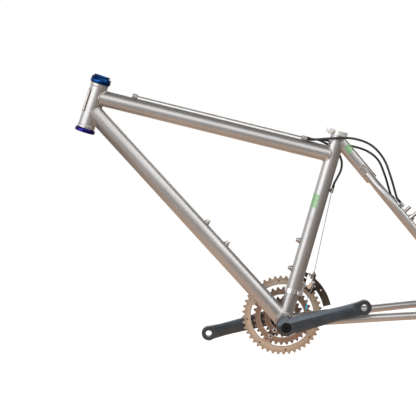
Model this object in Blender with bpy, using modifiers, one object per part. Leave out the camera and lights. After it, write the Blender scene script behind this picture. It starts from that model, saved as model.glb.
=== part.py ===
"""Titanium mountain bike frame with headset, seat clamp, bottom bracket, crankset and front derailleur.

Metres, +Z up. The origin is the centre of the bottom bracket, the front of the bicycle is at -X and
its left side at -Y.
"""
import math

import bmesh
import bpy
from mathutils import Matrix, Vector

# Clearance between pieces that touch, and how finely round forms are faceted
GAP = 0.0003
TUBE_SIDES = 24
ROUND_SIDES = 16
FINE_SIDES = 24
SMALL_SIDES = 10
BOSS_SIDES = 14
STAY_FACETS = 4
BORE_FACETS = 2
CABLE_FACETS = 2
STAY_STEPS = 2
HOUSING_STEPS = 3
END_STEPS = 6
WELD = 0.00001
SHARP_EDGE = math.radians(35.0)
BIT = 0.001

# Main tubes
SEAT_ANGLE = math.radians(73.6)
SEAT_LENGTH = 0.436
SEAT_RADIUS = 0.0159
SEATPOST_RADIUS = 0.0137
SEATPOST_DEPTH = 0.120
SEAT_SLOT_WIDTH = 0.0026
SEAT_SLOT_LENGTH = 0.030
HEAD_ANGLE = math.radians(70.8)
HEAD_FOOT_X = -0.4296
HEAD_FOOT_Z = 0.4325
HEAD_LENGTH = 0.100
HEAD_RADIUS = 0.0185
HEAD_BORE = 0.0170
HEAD_RING_HEIGHT = 0.006
HEAD_RING_STEP = 0.0008
TOP_RADIUS = 0.01745
TOP_HEAD_JOIN = 0.0717
TOP_SEAT_DROP = 0.0535
TOP_SEAT_SETBACK = 0.008
DOWN_RADIUS = 0.01905
DOWN_HEAD_JOIN = 0.0419
DOWN_HEAD_SETBACK = 0.005
TUBE_WALL = 0.0010

# Bottom bracket shell
SHELL_RADIUS = 0.020
SHELL_BORE = 0.017
SHELL_WIDTH = 0.073

# Rear triangle
AXLE_X = 0.427
AXLE_Z = 0.030
DROPOUT_SPACING = 0.135
DROPOUT_THICKNESS = 0.006
DROPOUT_RADIUS = 0.015
DROPOUT_BACK = (math.radians(-35.0), math.radians(60.0))
DROPOUT_SLOT_WIDTH = 0.0102
DROPOUT_SLOT_DEPTH = 0.016
DROPOUT_SLOT_STEPS = 8
HANGER_REACH = 0.030
HANGER_SETBACK = 0.0155
HANGER_RADIUS = 0.009
HANGER_HOLE = 0.0046
HANGER_LOBE = (math.radians(170.0), math.radians(380.0))
HANGER_STEPS = 10
CHAINSTAY_START = 0.015
CHAINSTAY_START_SPREAD = 0.023
CHAINSTAY_BEND = ((0.055, 0.0290), (0.095, 0.0370), (0.135, 0.0425), (0.190, 0.0480))
CHAINSTAY_RADIUS = 0.0100
CHAINSTAY_TIP_RADIUS = 0.0080
CHAINSTAY_SHOULDER = 0.030
WISHBONE_DROP = 0.0162
WISHBONE_RADIUS = 0.0130
WISHBONE_LENGTH = 0.118
SEATSTAY_RADIUS = 0.0080
SEATSTAY_START = 0.100
SEATSTAY_START_SPREAD = 0.013
SEATSTAY_BEND = ((0.120, 0.0205), (0.145, 0.0330), (0.178, 0.0420), (0.230, 0.0475))
SEATSTAY_SHOULDER = 0.034
STAY_WALL = 0.0012
STAY_PLUG = 0.002
STAY_STRAIGHT = 0.016
BRAKE_STUD_REACH = 0.255
BRAKE_STUD_RADIUS = 0.0070
BRAKE_STUD_BASE = 0.006
BRAKE_PIN_RADIUS = 0.0040
BRAKE_PIN_LENGTH = 0.016

# Bottle bosses and their bolts
DOWN_BOSSES = (0.2136, 0.2776)
SEAT_BOSSES = (0.1175, 0.1815)
BOSS_RADIUS = 0.0060
BOSS_HEIGHT = 0.004
BOSS_HOLE = 0.0026
BOLT_RADIUS = 0.0044
BOLT_HEAD = 0.0045
BOLT_SHANK = 0.0023
BOLT_SHANK_LENGTH = 0.003
BOLT_HEX = 0.0023
BOLT_HEX_DEPTH = 0.0025

# Cable stops and cables
STOP_LENGTH = 0.011
STOP_RADIUS = 0.0034
STOP_SADDLE = 0.0025
STOP_SADDLE_LENGTH = 0.008
STOP_STAND_OFF = 0.0017
STOP_FAN = math.radians(22.0)
FRONT_STOP = 0.0825
REAR_STOP_LEAD = 0.0695
SEAT_STOP_DROP = 0.129
STAY_STOP_LEAD = 0.0334
HOUSING_RADIUS = 0.0025
HOUSING_LEAD = 0.005
WIRE_RADIUS = 0.0008

# Housing routes, from where the top tube's axis meets the seat tube's
BRAKE_HOUSING_ROUTE = (
    (-0.0260, -0.0140, 0.0355), (0.0040, -0.0208, 0.0372), (0.0420, -0.0235, 0.0361),
    (0.0795, -0.0275, 0.0222), (0.1065, -0.0330, -0.0078), (0.1218, -0.0390, -0.0487))
REAR_SHIFT_HOUSING_ROUTE = (
    (-0.0260, 0.0125, 0.0335), (0.0040, 0.0215, 0.0270), (0.0420, 0.0240, 0.0180),
    (0.0795, 0.0285, 0.0055), (0.1045, 0.0335, -0.0148), (0.1208, 0.0392, -0.0498))
MECH_HOUSING_ROUTE = (
    (-0.0300, 0.0045, 0.0325), (-0.0080, 0.0150, 0.0215), (0.0090, 0.0215, 0.0111),
    (0.0180, 0.0215, -0.0029), (0.0220, 0.0165, -0.0179), (0.0190, 0.0080, -0.0349))

# Headset
CUP_RADIUS = 0.0223
CUP_HEIGHT = 0.0090
CUP_SLEEVE = 0.012
CUP_WALL = 0.0015
CUP_FLOOR = 0.0018
CUP_RIM = 0.0018
COVER_HEIGHT = 0.0092
COVER_SKIRT = 0.0025
COVER_TOP_RADIUS = 0.0172
STEERER_RADIUS = 0.0145

# Seat clamp
COLLAR_RADIUS = 0.0190
COLLAR_HEIGHT = 0.010
COLLAR_TOP_STEP = 0.0005
EAR_HALF_WIDTH = 0.0132
EAR_RADIUS = 0.0047
SKEWER_OFFSET = 0.0205
SKEWER_RADIUS = 0.0026
SKEWER_EYE_RADIUS = 0.0050
SKEWER_EYE_HEIGHT = 0.0054
NUT_RADIUS = 0.0062
NUT_LENGTH = 0.0095
NUT_BORE_DEPTH = 0.0071
NUT_CROWN_RADIUS = 0.0043
LEVER_HEAD_RADIUS = 0.0070
LEVER_HEIGHT = 0.012
LEVER_LENGTH = 0.044
LEVER_ROOT_WIDTH = 0.0065
LEVER_TIP_WIDTH = 0.0045
LEVER_BLADE_HEIGHT = 0.010
LEVER_SPLAY = math.radians(20.0)
LEVER_PIN = 0.0018

# Bottom bracket and crankset
BB_FLANGE_RADIUS = 0.019
BB_FLANGE = 0.003
BB_SLEEVE_DEPTH = 0.0165
BB_SLEEVE_WALL = 0.0031
BEARING_WIDTH = 0.009
SPINDLE_RADIUS = 0.0085
SPINDLE_HALF = 0.062
SPINDLE_BORE = 0.0043
SPINDLE_BORE_DEPTH = 0.020
CRANK_LENGTH = 0.1725
CRANK_ANGLE = math.radians(14.2)
CRANK_BOSS_RADIUS = 0.020
CRANK_BOSS_INNER = 0.048
CRANK_BOSS_OUTER = 0.073
CRANK_ROOT_INNER = 0.0625
CRANK_TIP_INNER = 0.0665
CRANK_THICKNESS = 0.0130
CRANK_HALF_WIDTHS = (
    (0.005, 0.0145), (0.022, 0.0175), (0.050, 0.0166), (0.090, 0.0150), (0.130, 0.0139), (0.152, 0.0144),
    (CRANK_LENGTH, 0.0156))
CRANK_WIDTH_STEPS = 2
CRANK_EYE_RADIUS = 0.016
CRANK_EDGE = 0.0020
CRANK_EDGE_STEPS = 2
CRANK_EYE_RISE = 0.0002
FACET_ROOT = 0.0112
FACET_TIP = 0.0140
FACET_REACH = 0.150
FACET_TILT = math.radians(30.0)
FACET_DEPTH = 0.0150
FACET_ROOM = 0.020
PEDAL_HOLE = 0.00715
CRANK_BOLT_RADIUS = 0.0106
CRANK_BOLT_HEAD = 0.0085
CRANK_BOLT_SHANK = 0.0040
CRANK_BOLT_SHANK_LENGTH = 0.015
CRANK_BOLT_HEX = 0.0046
CRANK_BOLT_HEX_DEPTH = 0.005
SPIDER_INNER = 0.0513
SPIDER_OUTER = 0.0560
SPIDER_REACH = 0.058
SPIDER_HALF_WIDTH = 0.008
SPIDER_ARMS = 4
SPIDER_STAGGER = 0.00005
POST_CIRCLE = 0.036
POST_RADIUS = 0.005
TOOTH_PITCH = 0.0127
TOOTH_HEIGHT = 0.0062
TOOTH_TIP_RISE = 0.0027
TOOTH_SHAPE = ((0.0, 0.0), (0.16, 0.10), (0.34, 0.78), (0.44, 1.0), (0.56, 1.0), (0.66, 0.78), (0.84, 0.10))
LARGE_TEETH = 44
MIDDLE_TEETH = 32
SMALL_TEETH = 22
LARGE_THICKNESS = 0.0025
MIDDLE_THICKNESS = 0.0020
SMALL_THICKNESS = 0.0020
LARGE_INNER_RADIUS = 0.0712
LARGE_TAB_RADIUS = 0.049
LARGE_TAB_HALF_ANGLE = math.radians(10.0)
LARGE_TAB_STEPS = 4
LARGE_SPAN_STEPS = 10
MIDDLE_RING_SIDES = 40
SMALL_RING_SIDES = 32
MIDDLE_INNER_RADIUS = 0.0495
SMALL_INNER_RADIUS = 0.029
SMALL_RING_FACE = 0.043

# Front derailleur
BAND_CENTRE = 0.070
BAND_HEIGHT = 0.010
BAND_WALL = 0.0024
MECH_PLATE_START = 0.0200
MECH_PLATE = 0.0037
MECH_PLATE_MARGIN = 0.0045
CLAMP_ARM_START = 0.0095
OUTER_PIVOT_Y = 0.020
OUTER_PIVOT_RISE = 0.014
INNER_PIVOT_INSET = 0.011
INNER_PIVOT_RISE = 0.004
LINK_LENGTH = 0.026
LINK_LEAN = math.radians(25.0)
LINK_WIDTH = 0.0080
LINK_DEPTH = 0.0068
LINK_SPACE = 0.0006
PIVOT_RADIUS = 0.0020
CABLE_ARM_Y = -0.0235
CABLE_ARM_RISE = 0.016
CABLE_ARM_WIDTH = 0.0065
CAGE_INNER_FACE = 0.0525
CAGE_OUTER_FACE = 0.0613
CAGE_PLATE = 0.0015
CAGE_RING_SPACE = 0.0035
CAGE_INNER_REACH = 0.014
CAGE_DEPTH = 0.017
CAGE_BRIDGE = 0.0018
CAGE_BRIDGE_INSET = 0.0002
CAGE_STEPS = 10
CAGE_FRONT_ANGLE = math.radians(62.0)
CAGE_TAIL_ANGLE = math.radians(12.0)
CAGE_BRIDGE_ANGLE = math.radians(38.0)
CAGE_TAIL_SPACER = 0.0025

# Finishes: colour, roughness, metallic
TITANIUM = ((0.42, 0.39, 0.36), 0.36, 1.0)
BLUE_ANODISED = ((0.03, 0.06, 0.22), 0.30, 1.0)
STEEL = ((0.55, 0.55, 0.55), 0.28, 1.0)
BLACK_STEEL = ((0.02, 0.02, 0.022), 0.40, 1.0)
CRANK_GREY = ((0.13, 0.15, 0.18), 0.34, 1.0)
RING_BROWN = ((0.28, 0.23, 0.18), 0.42, 1.0)
BLACK_PLASTIC = ((0.02, 0.02, 0.02), 0.50, 0.0)

RIGHT = Vector((0.0, 1.0, 0.0))
SEAT_UP = Vector((math.cos(SEAT_ANGLE), 0.0, math.sin(SEAT_ANGLE)))
SEAT_BACK = SEAT_UP.cross(RIGHT) * -1.0
HEAD_UP = Vector((math.cos(HEAD_ANGLE), 0.0, math.sin(HEAD_ANGLE)))
CRANK_AXIS = Vector((0.0, 0.0, 0.0))
HEAD_FOOT = Vector((HEAD_FOOT_X, 0.0, HEAD_FOOT_Z))
AXLE = Vector((AXLE_X, 0.0, AXLE_Z))
TOP_START = HEAD_FOOT + HEAD_UP * TOP_HEAD_JOIN
TOP_END = SEAT_UP * (SEAT_LENGTH - TOP_SEAT_DROP)
TOP_BACK = (TOP_END - TOP_START).normalized()
DOWN_END = HEAD_FOOT + HEAD_UP * DOWN_HEAD_JOIN
DOWN_FORWARD = DOWN_END.normalized()
STAY_TOP = SEAT_UP * (SEAT_LENGTH - WISHBONE_DROP)
STAY_DOWN = (AXLE - STAY_TOP).normalized()
STAY_SPAN = (AXLE - STAY_TOP).length
STUD_DROP = STAY_SPAN - BRAKE_STUD_REACH
STAY_STOP_DROP = STUD_DROP - STAY_STOP_LEAD
REAR_STOP = (TOP_END - TOP_START).length - REAR_STOP_LEAD
CHAINSTAY_BACK = AXLE.normalized()
DROPOUT_CENTRE = DROPOUT_SPACING / 2 + DROPOUT_THICKNESS / 2
LEVER_PIVOT = EAR_HALF_WIDTH + LEVER_HEAD_RADIUS + GAP
SIDES = (("left", -1), ("right", 1))


def clear_scene():
    """Remove whatever the scene holds and make the two collections."""
    for old in list(bpy.data.objects):
        bpy.data.objects.remove(old, do_unlink=True)
    made = []
    for name in ("bicycle_frame", "bicycle_frame_cutters"):
        group = bpy.data.collections.new(name)
        bpy.context.scene.collection.children.link(group)
        made.append(group)
    return made


PARTS, CUTTERS = clear_scene()


# Frames, meshes and objects
def along(origin, axis):
    """A frame at origin with its local Z along axis."""
    z = axis.normalized()
    hint = RIGHT if abs(z.dot(RIGHT)) < 0.9 else Vector((1.0, 0.0, 0.0))
    x = (hint - z * hint.dot(z)).normalized()
    return columns(origin, x, z.cross(x), z)


def frame_at(origin, x_axis):
    """A frame at origin with local X along x_axis and local Y towards the bicycle's right."""
    x = x_axis.normalized()
    z = x.cross(RIGHT).normalized()
    return columns(origin, x, z.cross(x), z)


def columns(origin, x, y, z):
    matrix = Matrix((x, y, z)).transposed().to_4x4()
    matrix.translation = origin
    return matrix


SEAT_FRAME = frame_at(CRANK_AXIS, SEAT_BACK)
SIDE_PLANE = columns(CRANK_AXIS, Vector((1, 0, 0)), Vector((0, 0, 1)), Vector((0, -1, 0)))


def to_mesh(name, bm):
    bmesh.ops.recalc_face_normals(bm, faces=bm.faces)
    mesh = bpy.data.meshes.new(name)
    bm.to_mesh(mesh)
    bm.free()
    mesh.shade_smooth()
    mesh.set_sharp_from_angle(angle=SHARP_EDGE)
    return mesh


def rod_mesh(name, radius, start, end, sides=ROUND_SIDES):
    """A solid round bar between two points of the object's own frame."""
    axis = end - start
    bm = bmesh.new()
    bmesh.ops.create_cone(
        bm, cap_ends=True, segments=sides, radius1=radius, radius2=radius,
        depth=axis.length, matrix=along(start + axis / 2, axis))
    return to_mesh(name, bm)


def box_mesh(name, low, high):
    """A box between two corners of the object's own frame."""
    bm = bmesh.new()
    bmesh.ops.create_cube(bm, size=1.0)
    bmesh.ops.scale(bm, vec=high - low, verts=bm.verts)
    bmesh.ops.translate(bm, vec=(low + high) / 2, verts=bm.verts)
    return to_mesh(name, bm)


def curve_to_mesh(name, curve):
    """The evaluated mesh of a curve, with its caps welded on."""
    carrier = bpy.data.objects.new(name, curve)
    PARTS.objects.link(carrier)
    depsgraph = bpy.context.evaluated_depsgraph_get()
    mesh = bpy.data.meshes.new_from_object(carrier.evaluated_get(depsgraph))
    bpy.data.objects.remove(carrier, do_unlink=True)
    bm = bmesh.new()
    bm.from_mesh(mesh)
    bpy.data.meshes.remove(mesh)
    bmesh.ops.remove_doubles(bm, verts=bm.verts, dist=WELD)
    return to_mesh(name, bm)


def swept_mesh(name, points, radii, resolution):
    """A round bar along points, with a radius at each."""
    curve = bpy.data.curves.new(name, "CURVE")
    curve.dimensions = "3D"
    curve.bevel_depth = radii[0]
    curve.bevel_resolution = resolution
    curve.use_fill_caps = True
    spline = curve.splines.new("POLY")
    spline.points.add(len(points) - 1)
    for knot, point, radius in zip(spline.points, points, radii):
        knot.co = (*point, 1.0)
        knot.radius = radius / radii[0]
    return curve_to_mesh(name, curve)


def plate_mesh(name, loops, thickness):
    """A flat plate in the local XY plane, outlined by the first loop and holed by the others."""
    curve = bpy.data.curves.new(name, "CURVE")
    curve.dimensions = "2D"
    curve.fill_mode = "BOTH"
    curve.extrude = thickness / 2
    for loop in loops:
        spline = curve.splines.new("POLY")
        spline.points.add(len(loop) - 1)
        spline.use_cyclic_u = True
        for knot, (x, y) in zip(spline.points, loop):
            knot.co = (x, y, 0.0, 1.0)
    return curve_to_mesh(name, curve)


def arc(centre, radius, start, end, steps):
    """Points along an arc, its angles in radians."""
    points = []
    for step in range(steps + 1):
        angle = start + (end - start) * step / steps
        points.append((centre[0] + radius * math.cos(angle), centre[1] + radius * math.sin(angle)))
    return points


def circle(centre, radius, steps):
    return arc(centre, radius, 0.0, math.tau * (steps - 1) / steps, steps - 1)


def smooth_path(points, steps):
    """A smooth curve through points that doesn't overshoot, read at a few places in each span."""
    ends = [points[0] * 2 - points[1]] + points + [points[-1] * 2 - points[-2]]
    path = []
    for p0, p1, p2, p3 in zip(ends, ends[1:], ends[2:], ends[3:]):
        t0 = -math.sqrt((p1 - p0).length)
        t2 = math.sqrt((p2 - p1).length)
        t3 = t2 + math.sqrt((p3 - p2).length)
        for step in range(steps):
            t = t2 * step / steps
            near = p0.lerp(p1, (t - t0) / -t0)
            middle = p1.lerp(p2, t / t2)
            far = p2.lerp(p3, (t - t2) / (t3 - t2))
            first = near.lerp(middle, (t - t0) / (t2 - t0))
            second = middle.lerp(far, t / t3)
            path.append(first.lerp(second, t / t2))
    path.append(points[-1])
    return path


def add_part(name, mesh, matrix, finish):
    part = bpy.data.objects.new(name, mesh)
    part.matrix_world = matrix
    PARTS.objects.link(part)
    colour, roughness, metallic = finish
    material = bpy.data.materials.new(name)
    material.use_nodes = True
    shader = material.node_tree.nodes["Principled BSDF"]
    shader.inputs["Base Color"].default_value = (*colour, 1.0)
    shader.inputs["Roughness"].default_value = roughness
    shader.inputs["Metallic"].default_value = metallic
    material.diffuse_color = (*colour, 1.0)
    mesh.materials.append(material)
    return part


def add_cutter(name, mesh, matrix):
    tool = bpy.data.objects.new(name, mesh)
    tool.matrix_world = matrix
    tool.hide_render = True
    tool.display_type = "WIRE"
    CUTTERS.objects.link(tool)
    return tool


def combine(part, operation, *tools):
    for tool in tools:
        modifier = part.modifiers.new(tool.name, "BOOLEAN")
        modifier.operation = operation
        modifier.solver = "EXACT"
        modifier.object = tool


def cut(part, *tools):
    combine(part, "DIFFERENCE", *tools)


def join(part, *tools):
    combine(part, "UNION", *tools)


def tube_cutter(name, radius, start, end, sides=TUBE_SIDES):
    """A cutter as wide as a tube, between two points in space."""
    length = (end - start).length
    mesh = rod_mesh(name, radius, Vector((0, 0, 0)), Vector((0, 0, length)), sides)
    return add_cutter(name, mesh, along(start, end - start))


def add_tube(name, radius, start, end, bore, bore_end, finish=TITANIUM):
    """A hollow tube from start to end, bored from beyond its start to bore_end."""
    length = (end - start).length
    mesh = rod_mesh(name, radius, Vector((0, 0, 0)), Vector((0, 0, length)), TUBE_SIDES)
    tube = add_part(name, mesh, along(start, end - start), finish)
    axis = (end - start).normalized()
    cut(tube, tube_cutter(name + "_bore", bore, start - axis * BIT, bore_end))
    return tube


def turned(name, profile, matrix, finish, closed=True, steps=ROUND_SIDES):
    """A turned piece about local Z: profile is (radius, height), down its outer side first."""
    mesh = bpy.data.meshes.new(name)
    edges = [(i, i + 1) for i in range(len(profile) - 1)]
    if closed:
        edges.append((len(profile) - 1, 0))
    mesh.from_pydata([(radius, 0.0, height) for radius, height in profile], edges, [])
    part = add_part(name, mesh, matrix, finish)
    screw = part.modifiers.new("turn", "SCREW")
    screw.steps = steps
    screw.render_steps = steps
    screw.use_merge_vertices = True
    screw.merge_threshold = WELD
    screw.use_smooth_shade = False
    return part


def hex_cutter(name, radius, depth, matrix):
    """A six-sided socket cutter that reaches depth below local height 0."""
    mesh = rod_mesh(name, radius, Vector((0, 0, -depth)), Vector((0, 0, BIT)), 6)
    return add_cutter(name, mesh, matrix)


# Cutters shaped like the main tubes, each wider by the gap
HEAD_CUTTER = tube_cutter(
    "head_tube_cutter", HEAD_RADIUS + GAP,
    HEAD_FOOT - HEAD_UP * BIT, HEAD_FOOT + HEAD_UP * (HEAD_LENGTH + BIT))
SEAT_CUTTER = tube_cutter("seat_tube_cutter", SEAT_RADIUS + GAP, CRANK_AXIS, SEAT_UP * (SEAT_LENGTH + BIT))
SHELL_CUTTER = tube_cutter(
    "shell_cutter", SHELL_RADIUS + GAP, RIGHT * -SHELL_WIDTH, RIGHT * SHELL_WIDTH)
TOP_CUTTER = tube_cutter("top_tube_cutter", TOP_RADIUS + GAP, TOP_START, TOP_END)
DOWN_CUTTER = tube_cutter("down_tube_cutter", DOWN_RADIUS + GAP, CRANK_AXIS, DOWN_END)
WISHBONE_END = STAY_TOP + STAY_DOWN * WISHBONE_LENGTH
WISHBONE_CUTTER = tube_cutter(
    "wishbone_cutter", WISHBONE_RADIUS + GAP, STAY_TOP, WISHBONE_END + STAY_DOWN * GAP)


def make_main_tubes():
    """Head tube, seat tube, shell, and the two tubes mitred between them."""
    ring = HEAD_RADIUS + HEAD_RING_STEP
    ring_end = HEAD_RING_HEIGHT + HEAD_RING_STEP
    profile = (
        (ring, HEAD_LENGTH), (ring, HEAD_LENGTH - HEAD_RING_HEIGHT), (HEAD_RADIUS, HEAD_LENGTH - ring_end),
        (HEAD_RADIUS, ring_end), (ring, HEAD_RING_HEIGHT), (ring, 0.0),
        (HEAD_BORE, 0.0), (HEAD_BORE, HEAD_LENGTH))
    turned("head_tube", profile, along(HEAD_FOOT, HEAD_UP), TITANIUM, steps=TUBE_SIDES)

    half = SHELL_WIDTH / 2
    profile = ((SHELL_RADIUS, half), (SHELL_RADIUS, -half), (SHELL_BORE, -half), (SHELL_BORE, half))
    turned("bottom_bracket_shell", profile, along(CRANK_AXIS, RIGHT), TITANIUM, steps=TUBE_SIDES)

    seat_top = SEAT_UP * SEAT_LENGTH
    sleeve_end = SEAT_UP * (SEAT_LENGTH - SEATPOST_DEPTH)
    seat_tube = add_tube(
        "seat_tube", SEAT_RADIUS, CRANK_AXIS, seat_top, SEAT_RADIUS - TUBE_WALL, sleeve_end)
    post_bore = tube_cutter(
        "seatpost_bore", SEATPOST_RADIUS, sleeve_end - SEAT_UP * BIT, seat_top + SEAT_UP * BIT)
    slot = add_cutter("seat_tube_slot", box_mesh(
        "seat_tube_slot",
        Vector((-SEAT_RADIUS - BIT, -SEAT_SLOT_WIDTH / 2, SEAT_LENGTH - SEAT_SLOT_LENGTH)),
        Vector((-SEATPOST_RADIUS / 2, SEAT_SLOT_WIDTH / 2, SEAT_LENGTH + BIT))), SEAT_FRAME)
    cut(seat_tube, SHELL_CUTTER, post_bore, slot)

    down_stop = DOWN_END - DOWN_FORWARD * DOWN_HEAD_SETBACK
    down_tube = add_tube("down_tube", DOWN_RADIUS, CRANK_AXIS, down_stop, DOWN_RADIUS - TUBE_WALL, DOWN_END)
    cut(down_tube, SHELL_CUTTER, SEAT_CUTTER, HEAD_CUTTER)

    top_stop = TOP_END - TOP_BACK * TOP_SEAT_SETBACK
    top_tube = add_tube("top_tube", TOP_RADIUS, TOP_START, top_stop, TOP_RADIUS - TUBE_WALL, TOP_END)
    cut(top_tube, HEAD_CUTTER, SEAT_CUTTER)


# Rear triangle
def chainstay_path(side):
    """Points along a chainstay, from inside the shell to its dropout."""
    end = CHAINSTAY_BACK * (AXLE.length - CHAINSTAY_SHOULDER - GAP)
    rise = end.z / end.x
    knots = [Vector((CHAINSTAY_START, side * CHAINSTAY_START_SPREAD, CHAINSTAY_START * rise))]
    for x, spread in CHAINSTAY_BEND:
        knots.append(Vector((x, side * spread, x * rise)))
    knots += stay_tip(end, CHAINSTAY_BACK, side)
    return smooth_path(knots, STAY_STEPS)


def stay_tip(end, way, side):
    """The last points of a stay, which runs straight into its dropout."""
    outside = RIGHT * side * DROPOUT_CENTRE
    return [end - way * (STAY_STRAIGHT * share) + outside for share in (1.0, 0.5, 0.0)]


def seatstay_path(side):
    """Points along a seatstay, from inside the wishbone tube to its dropout."""
    knots = []
    for reach, spread in ((SEATSTAY_START, SEATSTAY_START_SPREAD), *SEATSTAY_BEND):
        knots.append(STAY_TOP + STAY_DOWN * reach + RIGHT * side * spread)
    end = STAY_TOP + STAY_DOWN * (STAY_SPAN - SEATSTAY_SHOULDER - GAP)
    knots += stay_tip(end, STAY_DOWN, side)
    return smooth_path(knots, STAY_STEPS)


def seatstay_frame(side, reach):
    """A frame on a seatstay's axis at a distance below the seat tube, local X down the stay."""
    path = seatstay_path(side)
    for a, b in zip(path, path[1:]):
        near = (a - STAY_TOP).dot(STAY_DOWN)
        far = (b - STAY_TOP).dot(STAY_DOWN)
        if near <= reach <= far:
            return frame_at(a.lerp(b, (reach - near) / (far - near)), b - a)
    raise ValueError("no seatstay at that distance")


def add_stay(name, path, radii, tool):
    """A hollow swept stay, open where the tool cuts it and plugged at its dropout."""
    stay = add_part(name, swept_mesh(name, path, radii, STAY_FACETS), Matrix(), TITANIUM)
    root = (path[1] - path[0]).normalized()
    tip = (path[-1] - path[-2]).normalized()
    inside = [path[0] - root * BIT] + path[1:-1] + [path[-1] - tip * STAY_PLUG]
    bore = swept_mesh(name + "_bore", inside, [radius - STAY_WALL for radius in radii], BORE_FACETS)
    cut(stay, add_cutter(name + "_bore", bore, Matrix()), tool)


def dropout_loops(with_hanger):
    """A dropout's outline about the axle, in the side plane, and its hanger's hole."""
    front = Vector((-CHAINSTAY_BACK.x, -CHAINSTAY_BACK.z))
    up = Vector((-STAY_DOWN.x, -STAY_DOWN.z))
    front_side = Vector((-front.y, front.x)) * CHAINSTAY_TIP_RADIUS
    up_side = Vector((up.y, -up.x)) * SEATSTAY_RADIUS
    front_end = front * CHAINSTAY_SHOULDER
    up_end = up * SEATSTAY_SHOULDER
    half = DROPOUT_SLOT_WIDTH / 2
    outline = [tuple(up_end - up_side), tuple(front_end - front_side), tuple(front_end + front_side)]
    outline.append((-half, -DROPOUT_SLOT_DEPTH))
    outline += arc((0.0, 0.0), half, math.pi, 0.0, DROPOUT_SLOT_STEPS)
    outline.append((half, -DROPOUT_SLOT_DEPTH))
    loops = [outline]
    if with_hanger:
        centre = (HANGER_SETBACK, -HANGER_REACH)
        outline += arc(centre, HANGER_RADIUS, *HANGER_LOBE, HANGER_STEPS)
        loops.append(circle(centre, HANGER_HOLE, ROUND_SIDES))
    outline += arc((0.0, 0.0), DROPOUT_RADIUS, *DROPOUT_BACK, END_STEPS)
    outline.append(tuple(up_end + up_side))
    return loops


def make_rear_triangle():
    wishbone = add_tube(
        "wishbone_tube", WISHBONE_RADIUS, STAY_TOP, WISHBONE_END,
        WISHBONE_RADIUS - STAY_WALL, WISHBONE_END - STAY_DOWN * STAY_PLUG)
    cut(wishbone, SEAT_CUTTER)
    for word, side in SIDES:
        path = chainstay_path(side)
        slope = (CHAINSTAY_TIP_RADIUS - CHAINSTAY_RADIUS) / path[-1].x
        taper = [CHAINSTAY_RADIUS + slope * point.x for point in path]
        add_stay(word + "_chainstay", path, taper, SHELL_CUTTER)
        path = seatstay_path(side)
        add_stay(word + "_seatstay", path, [SEATSTAY_RADIUS] * len(path), WISHBONE_CUTTER)
        plate = plate_mesh(word + "_dropout", dropout_loops(side > 0), DROPOUT_THICKNESS)
        place = SIDE_PLANE.copy()
        place.translation = AXLE + RIGHT * side * DROPOUT_CENTRE
        add_part(word + "_dropout", plate, place, TITANIUM)
        name = word + "_seatstay_cutter"
        wider = [SEATSTAY_RADIUS + GAP] * len(path)
        stay_cutter = add_cutter(name, swept_mesh(name, path, wider, STAY_FACETS), Matrix())
        make_brake_stud(word, side, stay_cutter)
        make_stay_stop(word, side, stay_cutter)


def make_brake_stud(word, side, stay_cutter):
    frame = seatstay_frame(side, STUD_DROP)
    base_top = SEATSTAY_RADIUS + BRAKE_STUD_BASE
    pin_top = base_top + BRAKE_PIN_LENGTH
    profile = (
        (0.0, pin_top), (BRAKE_PIN_RADIUS, pin_top), (BRAKE_PIN_RADIUS, base_top),
        (BRAKE_STUD_RADIUS, base_top), (BRAKE_STUD_RADIUS, 0.0), (0.0, 0.0))
    stud = turned(word + "_brake_stud", profile, frame, STEEL, closed=False)
    cut(stud, stay_cutter)


# Bottle bosses, cable stops and cables
def make_boss(name, origin, out, tube_radius, tube_tool):
    """A boss on a tube, with its bolt; origin is on the tube's axis and out points away from it."""
    place = along(origin, out)
    top = tube_radius + BOSS_HEIGHT
    sunk = tube_radius / 2
    profile = ((BOSS_RADIUS, top), (BOSS_RADIUS, sunk), (BOSS_HOLE, sunk), (BOSS_HOLE, top))
    cut(turned(name + "_boss", profile, place, TITANIUM, steps=BOSS_SIDES), tube_tool)
    head = top + GAP
    head_top = head + BOLT_HEAD
    profile = (
        (0.0, head_top), (BOLT_RADIUS, head_top), (BOLT_RADIUS, head), (BOLT_SHANK, head),
        (BOLT_SHANK, head - BOLT_SHANK_LENGTH), (0.0, head - BOLT_SHANK_LENGTH))
    bolt = turned(name + "_bolt", profile, place, STEEL, closed=False, steps=BOSS_SIDES)
    cut(bolt, hex_cutter(name + "_hex", BOLT_HEX, BOLT_HEX_DEPTH, along(origin + out * head_top, out)))


def make_bosses():
    down_side = DOWN_FORWARD.cross(RIGHT) * -1.0
    for word, reach in zip(("lower", "upper"), DOWN_BOSSES):
        make_boss("down_tube_" + word, DOWN_FORWARD * reach, down_side, DOWN_RADIUS, DOWN_CUTTER)
    for word, reach in zip(("lower", "upper"), SEAT_BOSSES):
        make_boss("seat_tube_" + word, SEAT_UP * reach, SEAT_BACK * -1.0, SEAT_RADIUS, SEAT_CUTTER)


def barrel_centre(tube_radius, angle):
    """Where a stop's barrel runs beside its tube, in the stop's frame: local X is along the tube."""
    reach = tube_radius + STOP_RADIUS + STOP_STAND_OFF
    return Vector((0.0, math.sin(angle) * reach, math.cos(angle) * reach))


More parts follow.
